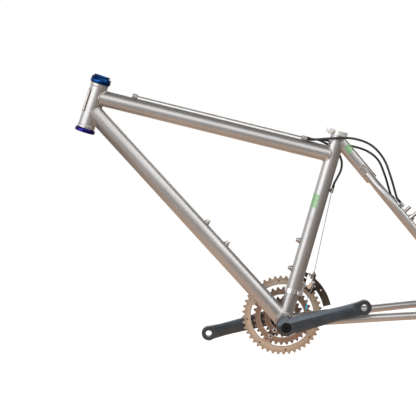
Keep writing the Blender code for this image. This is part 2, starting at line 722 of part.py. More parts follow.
def make_stop(name, frame, tube_radius, angles, tube_tool):
    """A saddle on a tube that carries one barrel at each angle from local Z."""
    half = Vector((STOP_SADDLE_LENGTH / 2, 0.0, 0.0))
    saddle = add_part(
        name, rod_mesh(name, tube_radius + STOP_SADDLE, half * -1.0, half, ROUND_SIDES), frame, TITANIUM)
    spread = max(angles) + STOP_RADIUS / tube_radius
    wide = tube_radius + STOP_SADDLE + BIT
    low = tube_radius * math.cos(spread)
    keep = add_cutter(name + "_keep", box_mesh(
        name + "_keep", Vector((-STOP_LENGTH, -wide, low)), Vector((STOP_LENGTH, wide, wide))), frame)
    combine(saddle, "INTERSECT", keep)
    for index, angle in enumerate(angles):
        centre = barrel_centre(tube_radius, angle)
        reach = Vector((STOP_LENGTH / 2, 0.0, 0.0))
        barrel = name + "_barrel_" + str(index)
        mesh = rod_mesh(barrel, STOP_RADIUS, centre - reach, centre + reach, SMALL_SIDES)
        join(saddle, add_cutter(barrel, mesh, frame))
    cut(saddle, tube_tool)


TOP_STOP_ANGLES = (-STOP_FAN, 0.0, STOP_FAN)
FRONT_STOP_FRAME = frame_at(TOP_START + TOP_BACK * FRONT_STOP, TOP_BACK)
REAR_STOP_FRAME = frame_at(TOP_START + TOP_BACK * REAR_STOP, TOP_BACK)
SEAT_STOP_FRAME = frame_at(SEAT_UP * (SEAT_LENGTH - SEAT_STOP_DROP), SEAT_UP * -1.0)


def barrel_end(frame, tube_radius, angle, way):
    """A point one gap off the end of a barrel, at its front (way -1) or its back (way 1)."""
    return frame @ (barrel_centre(tube_radius, angle) + Vector((way * (STOP_LENGTH / 2 + GAP), 0.0, 0.0)))


def make_stops():
    make_stop("front_cable_stop", FRONT_STOP_FRAME, TOP_RADIUS, TOP_STOP_ANGLES, TOP_CUTTER)
    make_stop("rear_cable_stop", REAR_STOP_FRAME, TOP_RADIUS, TOP_STOP_ANGLES, TOP_CUTTER)
    make_stop("seat_tube_cable_stop", SEAT_STOP_FRAME, SEAT_RADIUS, (0.0,), SEAT_CUTTER)


def make_stay_stop(word, side, stay_cutter):
    frame = seatstay_frame(side, STAY_STOP_DROP)
    make_stop(word + "_seatstay_cable_stop", frame, SEATSTAY_RADIUS, (0.0,), stay_cutter)


def add_cable(name, points, radius, finish):
    add_part(name, swept_mesh(name, points, [radius] * len(points), CABLE_FACETS), Matrix(), finish)


def add_housing(name, points):
    add_cable(name, smooth_path(points, HOUSING_STEPS), HOUSING_RADIUS, BLACK_PLASTIC)


def lead_out(point, frame, way):
    """Points that lead a housing straight out of a barrel, the barrel's end first."""
    step = frame.to_3x3() @ Vector((way * HOUSING_LEAD, 0.0, 0.0))
    return [point, point + step, point + step * 2]


def stay_housing_points(side, route):
    """A housing from the rear stop, past the seat tube, to the stop on one seatstay."""
    start = barrel_end(REAR_STOP_FRAME, TOP_RADIUS, side * STOP_FAN, 1)
    frame = seatstay_frame(side, STAY_STOP_DROP)
    end = barrel_end(frame, SEATSTAY_RADIUS, 0.0, -1)
    middle = [TOP_END + Vector(knot) for knot in route]
    return lead_out(start, REAR_STOP_FRAME, 1) + middle + lead_out(end, frame, -1)[::-1]


def derailleur_housing_points():
    """The housing that loops from the rear stop round the seat tube's right side to its back."""
    start = barrel_end(REAR_STOP_FRAME, TOP_RADIUS, 0.0, 1)
    end = barrel_end(SEAT_STOP_FRAME, SEAT_RADIUS, 0.0, -1)
    middle = [TOP_END + Vector(point) for point in MECH_HOUSING_ROUTE]
    return lead_out(start, REAR_STOP_FRAME, 1) + middle + lead_out(end, SEAT_STOP_FRAME, -1)[::-1]


def make_cables():
    for word, angle in zip(("brake", "front_shift", "rear_shift"), TOP_STOP_ANGLES):
        ends = [barrel_end(FRONT_STOP_FRAME, TOP_RADIUS, angle, 1),
                barrel_end(REAR_STOP_FRAME, TOP_RADIUS, angle, -1)]
        add_cable(word + "_wire", ends, WIRE_RADIUS, STEEL)
    add_housing("brake_housing", stay_housing_points(-1, BRAKE_HOUSING_ROUTE))
    add_housing("rear_shift_housing", stay_housing_points(1, REAR_SHIFT_HOUSING_ROUTE))
    add_housing("front_shift_housing", derailleur_housing_points())
    wire = [barrel_end(SEAT_STOP_FRAME, SEAT_RADIUS, 0.0, 1), cable_anchor() + SEAT_UP * GAP]
    add_cable("derailleur_wire", wire, WIRE_RADIUS, STEEL)


# Headset, turned about the head tube's axis
def make_headset():
    place = along(HEAD_FOOT, HEAD_UP)
    sleeve = HEAD_BORE - GAP
    inside = sleeve - CUP_WALL
    seat = CUP_RADIUS - CUP_RIM
    edge = CUP_RIM
    top = HEAD_LENGTH + GAP
    cup_top = top + CUP_HEIGHT
    profile = (
        (CUP_RADIUS, cup_top), (CUP_RADIUS, top + edge), (CUP_RADIUS - edge, top), (sleeve, top),
        (sleeve, top - CUP_SLEEVE), (inside, top - CUP_SLEEVE), (inside, top + CUP_FLOOR),
        (seat, top + CUP_FLOOR), (seat, cup_top))
    turned("upper_headset_cup", profile, place, BLUE_ANODISED, steps=FINE_SIDES)
    profile = (
        (sleeve, CUP_SLEEVE - GAP), (sleeve, -GAP), (CUP_RADIUS - edge, -GAP), (CUP_RADIUS, -GAP - edge),
        (CUP_RADIUS, -GAP - CUP_HEIGHT), (seat, -GAP - CUP_HEIGHT), (seat, -GAP - CUP_FLOOR),
        (inside, -GAP - CUP_FLOOR), (inside, CUP_SLEEVE - GAP))
    turned("lower_headset_cup", profile, place, BLUE_ANODISED, steps=FINE_SIDES)
    pockets = (
        ("upper", top + CUP_FLOOR + GAP, cup_top), ("lower", -GAP - CUP_HEIGHT, -2 * GAP - CUP_FLOOR))
    for word, low, high in pockets:
        profile = ((seat - GAP, high), (seat - GAP, low), (inside, low), (inside, high))
        turned(word + "_headset_bearing", profile, place, STEEL)
    base = cup_top + GAP
    skirt = base + COVER_SKIRT
    peak = base + COVER_HEIGHT
    profile = (
        (COVER_TOP_RADIUS, peak), (CUP_RADIUS, skirt), (CUP_RADIUS, base), (STEERER_RADIUS, base),
        (STEERER_RADIUS, peak))
    turned("headset_top_cover", profile, place, BLUE_ANODISED, steps=FINE_SIDES)


# Seat clamp: local X points back, local Z up the seat tube
def make_seat_clamp():
    top = SEAT_LENGTH + COLLAR_TOP_STEP
    low = top - COLLAR_HEIGHT
    middle = (top + low) / 2
    profile = ((0.0, top), (COLLAR_RADIUS, top), (COLLAR_RADIUS, low), (0.0, low))
    collar = turned(
        "seat_collar", profile, along(CRANK_AXIS, SEAT_UP), STEEL, closed=False, steps=FINE_SIDES)
    skewer = Vector((-SKEWER_OFFSET, 0.0, middle))
    across = Vector((0.0, 1.0, 0.0))
    ear_end = across * EAR_HALF_WIDTH
    ears = rod_mesh("collar_ears", EAR_RADIUS, skewer - ear_end, skewer + ear_end)
    web_low = Vector((-SKEWER_OFFSET, -EAR_HALF_WIDTH + BIT, low + BIT / 2))
    web_high = Vector((-SEAT_RADIUS / 2, EAR_HALF_WIDTH - BIT, top - BIT / 2))
    slot_low = Vector((-SKEWER_OFFSET - 2 * EAR_RADIUS, -SEAT_SLOT_WIDTH / 2, low - BIT))
    slot_high = Vector((-SEAT_RADIUS / 2, SEAT_SLOT_WIDTH / 2, top + BIT))
    hole = rod_mesh("skewer_hole", SKEWER_RADIUS + GAP, skewer - ear_end * 2, skewer + ear_end * 2)
    join(collar, add_cutter("collar_web", box_mesh("collar_web", web_low, web_high), SEAT_FRAME))
    join(collar, add_cutter("collar_ears", ears, SEAT_FRAME))
    cut(collar, add_cutter("collar_slot", box_mesh("collar_slot", slot_low, slot_high), SEAT_FRAME))
    cut(collar, add_cutter("skewer_hole", hole, SEAT_FRAME), SEAT_CUTTER)
    make_skewer(skewer, across)
    make_lever(skewer + across * LEVER_PIVOT)


def make_skewer(skewer, across):
    """The rod through the ears, its eye for the lever, and its nut on the left."""
    up = Vector((0.0, 0.0, 1.0))
    nut_face = EAR_HALF_WIDTH + GAP
    nut_floor = nut_face + NUT_BORE_DEPTH
    pivot = skewer + across * LEVER_PIVOT
    far = skewer - across * (nut_floor - GAP)
    rod = rod_mesh("quick_release_skewer", SKEWER_RADIUS, far, pivot, SMALL_SIDES)
    part = add_part("quick_release_skewer", rod, SEAT_FRAME, STEEL)
    eye_half = up * SKEWER_EYE_HEIGHT / 2
    eye = rod_mesh("skewer_eye", SKEWER_EYE_RADIUS, pivot - eye_half, pivot + eye_half)
    hole = rod_mesh(
        "skewer_eye_hole", LEVER_PIN + GAP, pivot - 2 * eye_half, pivot + 2 * eye_half, SMALL_SIDES)
    join(part, add_cutter("skewer_eye", eye, SEAT_FRAME))
    cut(part, add_cutter("skewer_eye_hole", hole, SEAT_FRAME))
    crown = NUT_CROWN_RADIUS
    bore = SKEWER_RADIUS + GAP
    end = nut_face + NUT_LENGTH
    profile = (
        (0.0, end), (crown, end), (NUT_RADIUS, end - NUT_RADIUS + crown), (NUT_RADIUS, nut_face),
        (bore, nut_face), (bore, nut_floor), (0.0, nut_floor))
    turned("quick_release_nut", profile, along(SEAT_FRAME @ skewer, RIGHT * -1.0), STEEL, closed=False)


def make_lever(pivot):
    """The cam lever: a slotted head about its pin, and a blade that closes along the collar."""
    blade_way = Vector((math.cos(LEVER_SPLAY), math.sin(LEVER_SPLAY), 0.0))
    x = (SEAT_FRAME.to_3x3() @ blade_way).normalized()
    frame = columns(SEAT_FRAME @ pivot, x, SEAT_UP.cross(x), SEAT_UP)
    half = LEVER_HEIGHT / 2
    up = Vector((0.0, 0.0, 1.0))
    head = rod_mesh("quick_release_lever", LEVER_HEAD_RADIUS, up * -half, up * half, ROUND_SIDES)
    lever = add_part("quick_release_lever", head, frame, STEEL)
    root = SKEWER_EYE_RADIUS + 2 * GAP
    tip_half = LEVER_TIP_WIDTH / 2
    outline = [(root - BIT, -LEVER_ROOT_WIDTH / 2)]
    outline += arc((LEVER_LENGTH - tip_half, 0.0), tip_half, -math.pi / 2, math.pi / 2, END_STEPS)
    outline.append((root - BIT, LEVER_ROOT_WIDTH / 2))
    blade = add_cutter("lever_blade", plate_mesh("lever_blade", [outline], LEVER_BLADE_HEIGHT), frame)
    gap_half = SKEWER_EYE_HEIGHT / 2 + GAP
    wide = LEVER_HEAD_RADIUS + BIT
    slot = box_mesh("lever_slot", Vector((-wide, -wide, -gap_half)), Vector((root, wide, gap_half)))
    pin = rod_mesh("lever_pin", LEVER_PIN, up * (BIT - half), up * (half - BIT), SMALL_SIDES)
    join(lever, blade)
    cut(lever, add_cutter("lever_slot", slot, frame))
    join(lever, add_cutter("lever_pin", pin, frame))


# Bottom bracket: turned about the crank axis, outwards on each side
def make_bottom_bracket():
    face = SHELL_WIDTH / 2 + GAP
    sleeve = SHELL_BORE - GAP
    inside = sleeve - BB_SLEEVE_WALL
    outer = face + BB_FLANGE
    bearing_high = outer - BIT
    bearing_low = bearing_high - BEARING_WIDTH
    for word, side in SIDES:
        place = along(CRANK_AXIS, RIGHT * side)
        profile = (
            (BB_FLANGE_RADIUS, outer), (BB_FLANGE_RADIUS, face), (sleeve, face),
            (sleeve, face - BB_SLEEVE_DEPTH), (inside, face - BB_SLEEVE_DEPTH), (inside, outer))
        turned(word + "_bottom_bracket_cup", profile, place, BLACK_STEEL)
        profile = (
            (inside - GAP, bearing_high), (inside - GAP, bearing_low), (SPINDLE_RADIUS + GAP, bearing_low),
            (SPINDLE_RADIUS + GAP, bearing_high))
        turned(word + "_bottom_bracket_bearing", profile, place, STEEL)
    mesh = rod_mesh("crank_spindle", SPINDLE_RADIUS, RIGHT * -SPINDLE_HALF, RIGHT * SPINDLE_HALF)
    spindle = add_part("crank_spindle", mesh, Matrix(), STEEL)
    for word, side in SIDES:
        name = word + "_spindle_bore"
        inner = RIGHT * side * (SPINDLE_HALF - SPINDLE_BORE_DEPTH)
        outer = RIGHT * side * (SPINDLE_HALF + BIT)
        cut(spindle, tube_cutter(name, SPINDLE_BORE, inner, outer, SMALL_SIDES))


# Crankset: each arm's frame has local X along the arm and local Y outwards
def crank_frame(side):
    x = Vector((math.cos(CRANK_ANGLE), 0.0, math.sin(CRANK_ANGLE))) * -side
    y = RIGHT * side
    return columns(CRANK_AXIS, x, y, x.cross(y))


def arm_beam_mesh(name):
    """The waisted bar between the boss and the pedal eye, leaning outwards towards the eye."""
    knots = [Vector((x, half, 0.0)) for x, half in CRANK_HALF_WIDTHS]
    edge = smooth_path(knots, CRANK_WIDTH_STEPS)
    outline = [(point.x, -point.y) for point in edge] + [(point.x, point.y) for point in edge[::-1]]
    mesh = plate_mesh(name, [outline], CRANK_THICKNESS)
    lean = (CRANK_TIP_INNER - CRANK_ROOT_INNER) / CRANK_LENGTH
    middle = CRANK_ROOT_INNER + CRANK_THICKNESS / 2
    mesh.transform(Matrix(((1, 0, 0, 0), (lean, 0, 1, middle), (0, -1, 0, 0), (0, 0, 0, 1))))
    return mesh


def facet_cutter(name, frame):
    """A block that planes a long facet along the arm's upper outer edge, fading out towards the eye."""
    face = CRANK_ROOT_INNER + CRANK_THICKNESS
    start = Vector((0.0, face, -FACET_ROOT))
    end = Vector((FACET_REACH, face + (CRANK_TIP_INNER - CRANK_ROOT_INNER), -FACET_TIP))
    x = (end - start).normalized()
    slope = Vector((0.0, -math.cos(FACET_TILT), -math.sin(FACET_TILT)))
    out = x.cross(slope).normalized()
    place = columns(start, x, out.cross(x), out)
    low = Vector((-CRANK_LENGTH, -FACET_ROOM, 0.0))
    high = Vector((FACET_REACH, FACET_DEPTH, FACET_ROOM))
    return add_cutter(name, box_mesh(name, low, high), frame @ place)


def make_crank_arm(word, side):
    name = word + "_crank_arm"
    frame = crank_frame(side)
    arm = add_part(name, arm_beam_mesh(name), frame, CRANK_GREY)
    bevel = arm.modifiers.new("round edges", "BEVEL")
    bevel.width = CRANK_EDGE
    bevel.segments = CRANK_EDGE_STEPS
    out = Vector((0.0, 1.0, 0.0))
    tip = Vector((CRANK_LENGTH, 0.0, 0.0))

    def bar(label, radius, centre, inner, outer, sides=FINE_SIDES):
        full = word + label
        mesh = rod_mesh(full, radius, centre + out * inner, centre + out * outer, sides)
        return add_cutter(full, mesh, frame)

    origin = Vector((0.0, 0.0, 0.0))
    shoulder = SPINDLE_HALF + BIT
    beyond = 2 * CRANK_BOSS_OUTER
    join(arm, bar("_crank_boss", CRANK_BOSS_RADIUS, origin, CRANK_BOSS_INNER, CRANK_BOSS_OUTER))
    eye_low = CRANK_TIP_INNER - CRANK_EYE_RISE
    eye_high = CRANK_TIP_INNER + CRANK_THICKNESS + CRANK_EYE_RISE
    join(arm, bar("_crank_eye", CRANK_EYE_RADIUS, tip, eye_low, eye_high))
    cut(arm, facet_cutter(word + "_crank_facet", frame))
    if side > 0:
        join(arm, *spider_pieces(frame))
    cut(arm, bar("_spindle_hole", SPINDLE_RADIUS + GAP, origin, 0.0, beyond, ROUND_SIDES))
    cut(arm, bar("_bolt_seat", CRANK_BOLT_RADIUS + GAP, origin, shoulder, beyond, ROUND_SIDES))
    cut(arm, bar("_pedal_hole", PEDAL_HOLE, tip, 0.0, beyond, ROUND_SIDES))

    head = shoulder + GAP
    top = head + CRANK_BOLT_HEAD
    chamfer = BIT
    profile = (
        (0.0, top), (CRANK_BOLT_RADIUS - chamfer, top), (CRANK_BOLT_RADIUS, top - chamfer),
        (CRANK_BOLT_RADIUS, head), (CRANK_BOLT_SHANK, head),
        (CRANK_BOLT_SHANK, head - CRANK_BOLT_SHANK_LENGTH), (0.0, head - CRANK_BOLT_SHANK_LENGTH))
    bolt = turned(word + "_crank_bolt", profile, along(CRANK_AXIS, RIGHT * side), BLACK_STEEL, closed=False)
    hex_place = along(RIGHT * side * top, RIGHT * side)
    cut(bolt, hex_cutter(word + "_crank_hex", CRANK_BOLT_HEX, CRANK_BOLT_HEX_DEPTH, hex_place))


def arm_angle(index):
    """The direction of one spider arm, in the right crank's frame."""
    return math.tau * (index + 0.5) / SPIDER_ARMS


def spider_pieces(frame):
    """The spider's arms, and the posts that carry the small ring."""
    pieces = []
    for index in range(SPIDER_ARMS):
        turn = Matrix.Rotation(-arm_angle(index), 4, "Y")
        name = "spider_arm_" + str(index)
        step = SPIDER_STAGGER * index
        low = Vector((0.0, SPIDER_INNER + step, -SPIDER_HALF_WIDTH))
        high = Vector((SPIDER_REACH, SPIDER_OUTER - step, SPIDER_HALF_WIDTH))
        pieces.append(add_cutter(name, box_mesh(name, low, high), frame @ turn))
        name = "spider_post_" + str(index)
        foot = Vector((POST_CIRCLE, SMALL_RING_FACE + GAP, 0.0))
        top = Vector((POST_CIRCLE, SPIDER_INNER + BIT, 0.0))
        pieces.append(add_cutter(name, rod_mesh(name, POST_RADIUS, foot, top, SMALL_SIDES), frame @ turn))
    return pieces


def tooth_loop(teeth):
    """A chainring's toothed edge: a few points a tooth, with round valleys between the tips."""
    root = tip_radius(teeth) - TOOTH_HEIGHT
    loop = []
    for tooth in range(teeth):
        for share, height in TOOTH_SHAPE:
            radius = root + height * TOOTH_HEIGHT
            angle = math.tau * (tooth + share) / teeth
            loop.append((radius * math.cos(angle), radius * math.sin(angle)))
    return loop


def tip_radius(teeth):
    """The tooth tips stand a little past the circle that the chain's pins follow."""
    return TOOTH_PITCH / (2 * math.sin(math.pi / teeth)) + TOOTH_TIP_RISE


def ring_frame(face):
    """A chainring's frame: turned with the right crank, its middle plane at face from the centre."""
    frame = crank_frame(1)
    x = frame.col[0].to_3d()
    return columns(RIGHT * face, x, RIGHT.cross(x), RIGHT)


def make_chainrings():
    middle = (0.0, 0.0)
    inner_loop = []
    for index in range(SPIDER_ARMS):
        tab_start = arm_angle(index) - LARGE_TAB_HALF_ANGLE
        tab_end = arm_angle(index) + LARGE_TAB_HALF_ANGLE
        next_tab = tab_start + math.tau / SPIDER_ARMS
        inner_loop += arc(middle, LARGE_TAB_RADIUS, tab_start, tab_end, LARGE_TAB_STEPS)
        inner_loop += arc(middle, LARGE_INNER_RADIUS, tab_end, next_tab, LARGE_SPAN_STEPS)
    middle_loop = circle(middle, MIDDLE_INNER_RADIUS, MIDDLE_RING_SIDES)
    small_loop = circle(middle, SMALL_INNER_RADIUS, SMALL_RING_SIDES)
    large_face = SPIDER_OUTER + GAP + LARGE_THICKNESS / 2
    middle_face = SPIDER_INNER - GAP - MIDDLE_THICKNESS / 2
    small_face = SMALL_RING_FACE - SMALL_THICKNESS / 2
    rings = (
        ("large_chainring", LARGE_TEETH, inner_loop, LARGE_THICKNESS, large_face),
        ("middle_chainring", MIDDLE_TEETH, middle_loop, MIDDLE_THICKNESS, middle_face),
        ("small_chainring", SMALL_TEETH, small_loop, SMALL_THICKNESS, small_face))
    for name, teeth, inside, thickness, face in rings:
        mesh = plate_mesh(name, [tooth_loop(teeth), inside], thickness)
        add_part(name, mesh, ring_frame(face), RING_BROWN)


# Front derailleur: local X back from the seat tube, local Y right, local Z up the tube
OUTER_PIVOT = Vector((0.0, OUTER_PIVOT_Y, BAND_CENTRE + OUTER_PIVOT_RISE))
INNER_PIVOT = OUTER_PIVOT + Vector((0.0, -INNER_PIVOT_INSET, INNER_PIVOT_RISE))
LINK_STEP = Vector((0.0, math.sin(LINK_LEAN), math.cos(LINK_LEAN))) * LINK_LENGTH
INNER_LINK_START = MECH_PLATE_START + MECH_PLATE + LINK_SPACE
OUTER_LINK_START = INNER_LINK_START + LINK_DEPTH + LINK_SPACE
CAGE_PLATE_START = OUTER_LINK_START + LINK_DEPTH + LINK_SPACE
BACK = Vector((1.0, 0.0, 0.0))


def cable_anchor():
    """The point, in space, where the wire meets the outer link's arm."""
    rise = CABLE_ARM_RISE + CABLE_ARM_WIDTH / 2
    local = OUTER_PIVOT + Vector((OUTER_LINK_START + LINK_DEPTH / 2, CABLE_ARM_Y, rise))
    return SEAT_FRAME @ local


def bar_outline(start, end, width):
    """A bar with round ends between two points (y, z) of the links' plane."""
    way = (end - start).normalized()
    angle = math.atan2(way.y, way.x)
    quarter = math.pi / 2
    near_end = arc(start, width / 2, angle + quarter, angle + 3 * quarter, END_STEPS)
    return near_end + arc(end, width / 2, angle - quarter, angle + quarter, END_STEPS)


def link_frame(pivot, start, depth):
    """A frame on a pivot's axis whose local X, Y are the bicycle's right and the tube's way up."""
    return columns(SEAT_FRAME @ (pivot + BACK * (start + depth / 2)), RIGHT, SEAT_UP, SEAT_BACK)


def pivot_rod(name, pivot, start, end, radius):
    mesh = rod_mesh(name, radius, pivot + BACK * start, pivot + BACK * end, SMALL_SIDES)
    return add_cutter(name, mesh, SEAT_FRAME)


def make_link(name, pivot, start, with_arm):
    """One link of the parallelogram, from its pivot on the clamp to its pivot on the cage."""
    origin = Vector((0.0, 0.0))
    far = Vector((LINK_STEP.y, LINK_STEP.z))
    frame = link_frame(pivot, start, LINK_DEPTH)
    outline = bar_outline(origin, far, LINK_WIDTH)
    link = add_part(name, plate_mesh(name, [outline], LINK_DEPTH), frame, STEEL)
    if with_arm:
        arm_end = Vector((CABLE_ARM_Y, CABLE_ARM_RISE))
        outline = bar_outline(origin, arm_end, CABLE_ARM_WIDTH)
        join(link, add_cutter("cable_arm", plate_mesh("cable_arm", [outline], LINK_DEPTH - BIT), frame))
    for word, place in (("_near_hole", pivot), ("_far_hole", pivot + LINK_STEP)):
        cut(link, pivot_rod(name + word, place, start - BIT, start + LINK_DEPTH + BIT, PIVOT_RADIUS + GAP))


def make_derailleur_clamp():
    low = BAND_CENTRE - BAND_HEIGHT / 2
    high = BAND_CENTRE + BAND_HEIGHT / 2
    wide = SEAT_RADIUS + GAP + BAND_WALL
    profile = ((0.0, high), (wide, high), (wide, low), (0.0, low))
    clamp = turned(
        "derailleur_clamp", profile, along(CRANK_AXIS, SEAT_UP), STEEL, closed=False, steps=FINE_SIDES)
    margin = MECH_PLATE_MARGIN
    arm_low = Vector((CLAMP_ARM_START, INNER_PIVOT.y - margin + BIT, low + BIT))
    arm_high = Vector((MECH_PLATE_START + BIT, OUTER_PIVOT.y, high - BIT))
    plate_low = Vector((MECH_PLATE_START, INNER_PIVOT.y - margin, low + 2 * BIT))
    plate_high = Vector((MECH_PLATE_START + MECH_PLATE, OUTER_PIVOT.y + margin, INNER_PIVOT.z + margin))
    join(clamp, add_cutter("clamp_arm", box_mesh("clamp_arm", arm_low, arm_high), SEAT_FRAME))
    join(clamp, add_cutter("clamp_plate", box_mesh("clamp_plate", plate_low, plate_high), SEAT_FRAME))
    inside = MECH_PLATE_START + BIT
    join(clamp, pivot_rod("outer_pivot", OUTER_PIVOT, inside, CAGE_PLATE_START - LINK_SPACE, PIVOT_RADIUS))
    join(clamp, pivot_rod("inner_pivot", INNER_PIVOT, inside, OUTER_LINK_START - LINK_SPACE, PIVOT_RADIUS))
    cut(clamp, SEAT_CUTTER)


def sector(inner, outer, start, end):
    middle = (0.0, 0.0)
    return arc(middle, outer, start, end, CAGE_STEPS) + arc(middle, inner, end, start, CAGE_STEPS)


def make_cage():
    """Two plates round the chain above the large ring, and the lug that carries them on the links."""
    low = tip_radius(LARGE_TEETH) + CAGE_RING_SPACE
    high = low + CAGE_DEPTH
    name = "derailleur_cage"

    def cage_plate(label, face, thickness, inner, outer, start, end):
        place = SIDE_PLANE.copy()
        place.translation = RIGHT * (face + thickness / 2)
        return label, plate_mesh(label, [sector(inner, outer, start, end)], thickness), place

    label, mesh, place = cage_plate(
        name, CAGE_INNER_FACE, CAGE_PLATE, low - CAGE_INNER_REACH, high, CAGE_TAIL_ANGLE, CAGE_FRONT_ANGLE)
    outer_pin = OUTER_PIVOT + LINK_STEP
    inner_pin = INNER_PIVOT + LINK_STEP
    cage = add_part(name, mesh, place, STEEL)
    join(cage, add_cutter(*cage_plate(
        "cage_outer_plate", CAGE_OUTER_FACE, CAGE_PLATE, low, high, CAGE_TAIL_ANGLE, CAGE_FRONT_ANGLE)))
    width = CAGE_OUTER_FACE - CAGE_INNER_FACE + BIT
    join(cage, add_cutter(*cage_plate(
        "cage_bridge", CAGE_INNER_FACE + BIT / 2, width, high - CAGE_BRIDGE, high - CAGE_BRIDGE_INSET,
        CAGE_BRIDGE_ANGLE, CAGE_FRONT_ANGLE - CAGE_BRIDGE / high)))
    tail = CAGE_TAIL_ANGLE + 2 * CAGE_TAIL_SPACER / high
    spot = Vector((math.cos(tail), 0.0, math.sin(tail))) * (high - 2 * CAGE_TAIL_SPACER)
    spacer = rod_mesh("cage_spacer", CAGE_TAIL_SPACER, spot + RIGHT * (CAGE_INNER_FACE + BIT / 2),
                      spot + RIGHT * (CAGE_OUTER_FACE + BIT), SMALL_SIDES)
    join(cage, add_cutter("cage_spacer", spacer, Matrix()))
    margin = MECH_PLATE_MARGIN
    lug_low = Vector((CAGE_PLATE_START, inner_pin.y - margin, outer_pin.z - 2 * margin))
    lug_high = Vector((CAGE_PLATE_START + MECH_PLATE, CAGE_INNER_FACE + BIT, inner_pin.z + margin))
    join(cage, add_cutter("cage_lug", box_mesh("cage_lug", lug_low, lug_high), SEAT_FRAME))
    inside = CAGE_PLATE_START + BIT
    outer_end = OUTER_LINK_START - LINK_SPACE / 2
    inner_end = INNER_LINK_START - LINK_SPACE / 2
    join(cage, pivot_rod("cage_outer_pivot", outer_pin, inside, outer_end, PIVOT_RADIUS))
    join(cage, pivot_rod("cage_inner_pivot", inner_pin, inside, inner_end, PIVOT_RADIUS))


def make_derailleur():
    make_derailleur_clamp()
    make_link("derailleur_outer_link", OUTER_PIVOT, OUTER_LINK_START, True)
    make_link("derailleur_inner_link", INNER_PIVOT, INNER_LINK_START, False)
    make_cage()


make_main_tubes()
make_rear_triangle()
make_bosses()
make_stops()
make_headset()
make_seat_clamp()
make_bottom_bracket()
for crank_word, crank_side in SIDES:
    make_crank_arm(crank_word, crank_side)
make_chainrings()
make_derailleur()
make_cables()
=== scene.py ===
"""Looks for the bicycle frame: smooth satin tubes, weld beads, cables, worn rings and soft light.

Metres, +Z up. The origin is the bottom bracket's centre, the front is at -X and the left side at -Y.
"""
import math

import bmesh
import bpy
from mathutils import Matrix, Vector


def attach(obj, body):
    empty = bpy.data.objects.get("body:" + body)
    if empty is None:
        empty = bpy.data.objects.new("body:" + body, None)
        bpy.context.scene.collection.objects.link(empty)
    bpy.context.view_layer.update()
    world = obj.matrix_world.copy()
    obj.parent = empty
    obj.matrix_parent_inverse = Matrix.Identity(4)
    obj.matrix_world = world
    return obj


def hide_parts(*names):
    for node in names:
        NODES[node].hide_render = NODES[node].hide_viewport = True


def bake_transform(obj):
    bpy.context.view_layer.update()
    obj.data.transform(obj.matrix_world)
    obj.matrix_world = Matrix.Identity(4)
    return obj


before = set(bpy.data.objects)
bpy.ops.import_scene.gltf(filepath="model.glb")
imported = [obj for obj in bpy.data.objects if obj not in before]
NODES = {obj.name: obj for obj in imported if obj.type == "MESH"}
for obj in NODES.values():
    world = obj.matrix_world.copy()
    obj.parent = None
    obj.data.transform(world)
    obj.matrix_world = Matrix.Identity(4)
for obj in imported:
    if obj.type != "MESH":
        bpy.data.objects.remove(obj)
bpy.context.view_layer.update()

# How finely round forms are made, and the clearance between neighbours
GAP = 0.0003
BIT = 0.001
WELD = 0.00001
FINE = 72
ROUND = 48
SMALL = 24
SHARP_EDGE = math.radians(32.0)

# Sizes as in the solids, with the relief of the skins: the crank's facet and rim, ring ridges and cage cuts
SEAT_ANGLE = math.radians(73.6)
SEAT_LENGTH = 0.436
SEAT_RADIUS = 0.0159
SEATPOST_RADIUS = 0.0137
SEATPOST_DEPTH = 0.120
SEAT_SLOT_WIDTH = 0.0026
SEAT_SLOT_LENGTH = 0.030
HEAD_ANGLE = math.radians(70.8)
HEAD_FOOT = Vector((-0.4296, 0.0, 0.4325))
HEAD_LENGTH = 0.100
HEAD_RADIUS = 0.0185
HEAD_BORE = 0.0170
HEAD_RING_HEIGHT = 0.006
HEAD_RING_STEP = 0.0008
TOP_RADIUS = 0.01745
TOP_HEAD_JOIN = 0.0717
TOP_SEAT_DROP = 0.0535
TOP_SEAT_SETBACK = 0.008
DOWN_RADIUS = 0.01905
DOWN_HEAD_JOIN = 0.0419
DOWN_HEAD_SETBACK = 0.005
TUBE_WALL = 0.0010
SHELL_RADIUS = 0.020
SHELL_BORE = 0.017
SHELL_WIDTH = 0.073
AXLE = Vector((0.427, 0.0, 0.030))
DROPOUT_CENTRE = 0.0705
CHAINSTAY_START = (0.015, 0.023)
CHAINSTAY_BEND = ((0.055, 0.0290), (0.095, 0.0370), (0.135, 0.0425), (0.190, 0.0480))
CHAINSTAY_RADIUS = 0.0100
CHAINSTAY_TIP_RADIUS = 0.0080
CHAINSTAY_SHOULDER = 0.030
WISHBONE_DROP = 0.0162
WISHBONE_RADIUS = 0.0130
WISHBONE_LENGTH = 0.118
SEATSTAY_RADIUS = 0.0080
SEATSTAY_KNOTS = ((0.100, 0.0130), (0.120, 0.0205), (0.145, 0.0330), (0.178, 0.0420), (0.230, 0.0475))
SEATSTAY_SHOULDER = 0.034
STAY_STRAIGHT = 0.016
BRAKE_STUD_REACH = 0.255
BRAKE_STUD_RADIUS = 0.0070
STAY_STOP_LEAD = 0.0334
DOWN_BOSSES = (0.2136, 0.2776)
SEAT_BOSSES = (0.1175, 0.1815)
BOSS_RADIUS = 0.0060
STOP_LENGTH = 0.011
STOP_RADIUS = 0.0034
STOP_STAND_OFF = 0.0017
STOP_FAN = math.radians(22.0)
FRONT_STOP = 0.0825
REAR_STOP_LEAD = 0.0695
SEAT_STOP_DROP = 0.129
HOUSING_RADIUS = 0.0025
HOUSING_LEAD = 0.005
WIRE_RADIUS = 0.0008
BRAKE_HOUSING_ROUTE = (
    (-0.0260, -0.0140, 0.0355), (0.0040, -0.0208, 0.0372), (0.0420, -0.0235, 0.0361),
    (0.0795, -0.0275, 0.0222), (0.1065, -0.0330, -0.0078), (0.1218, -0.0390, -0.0487))
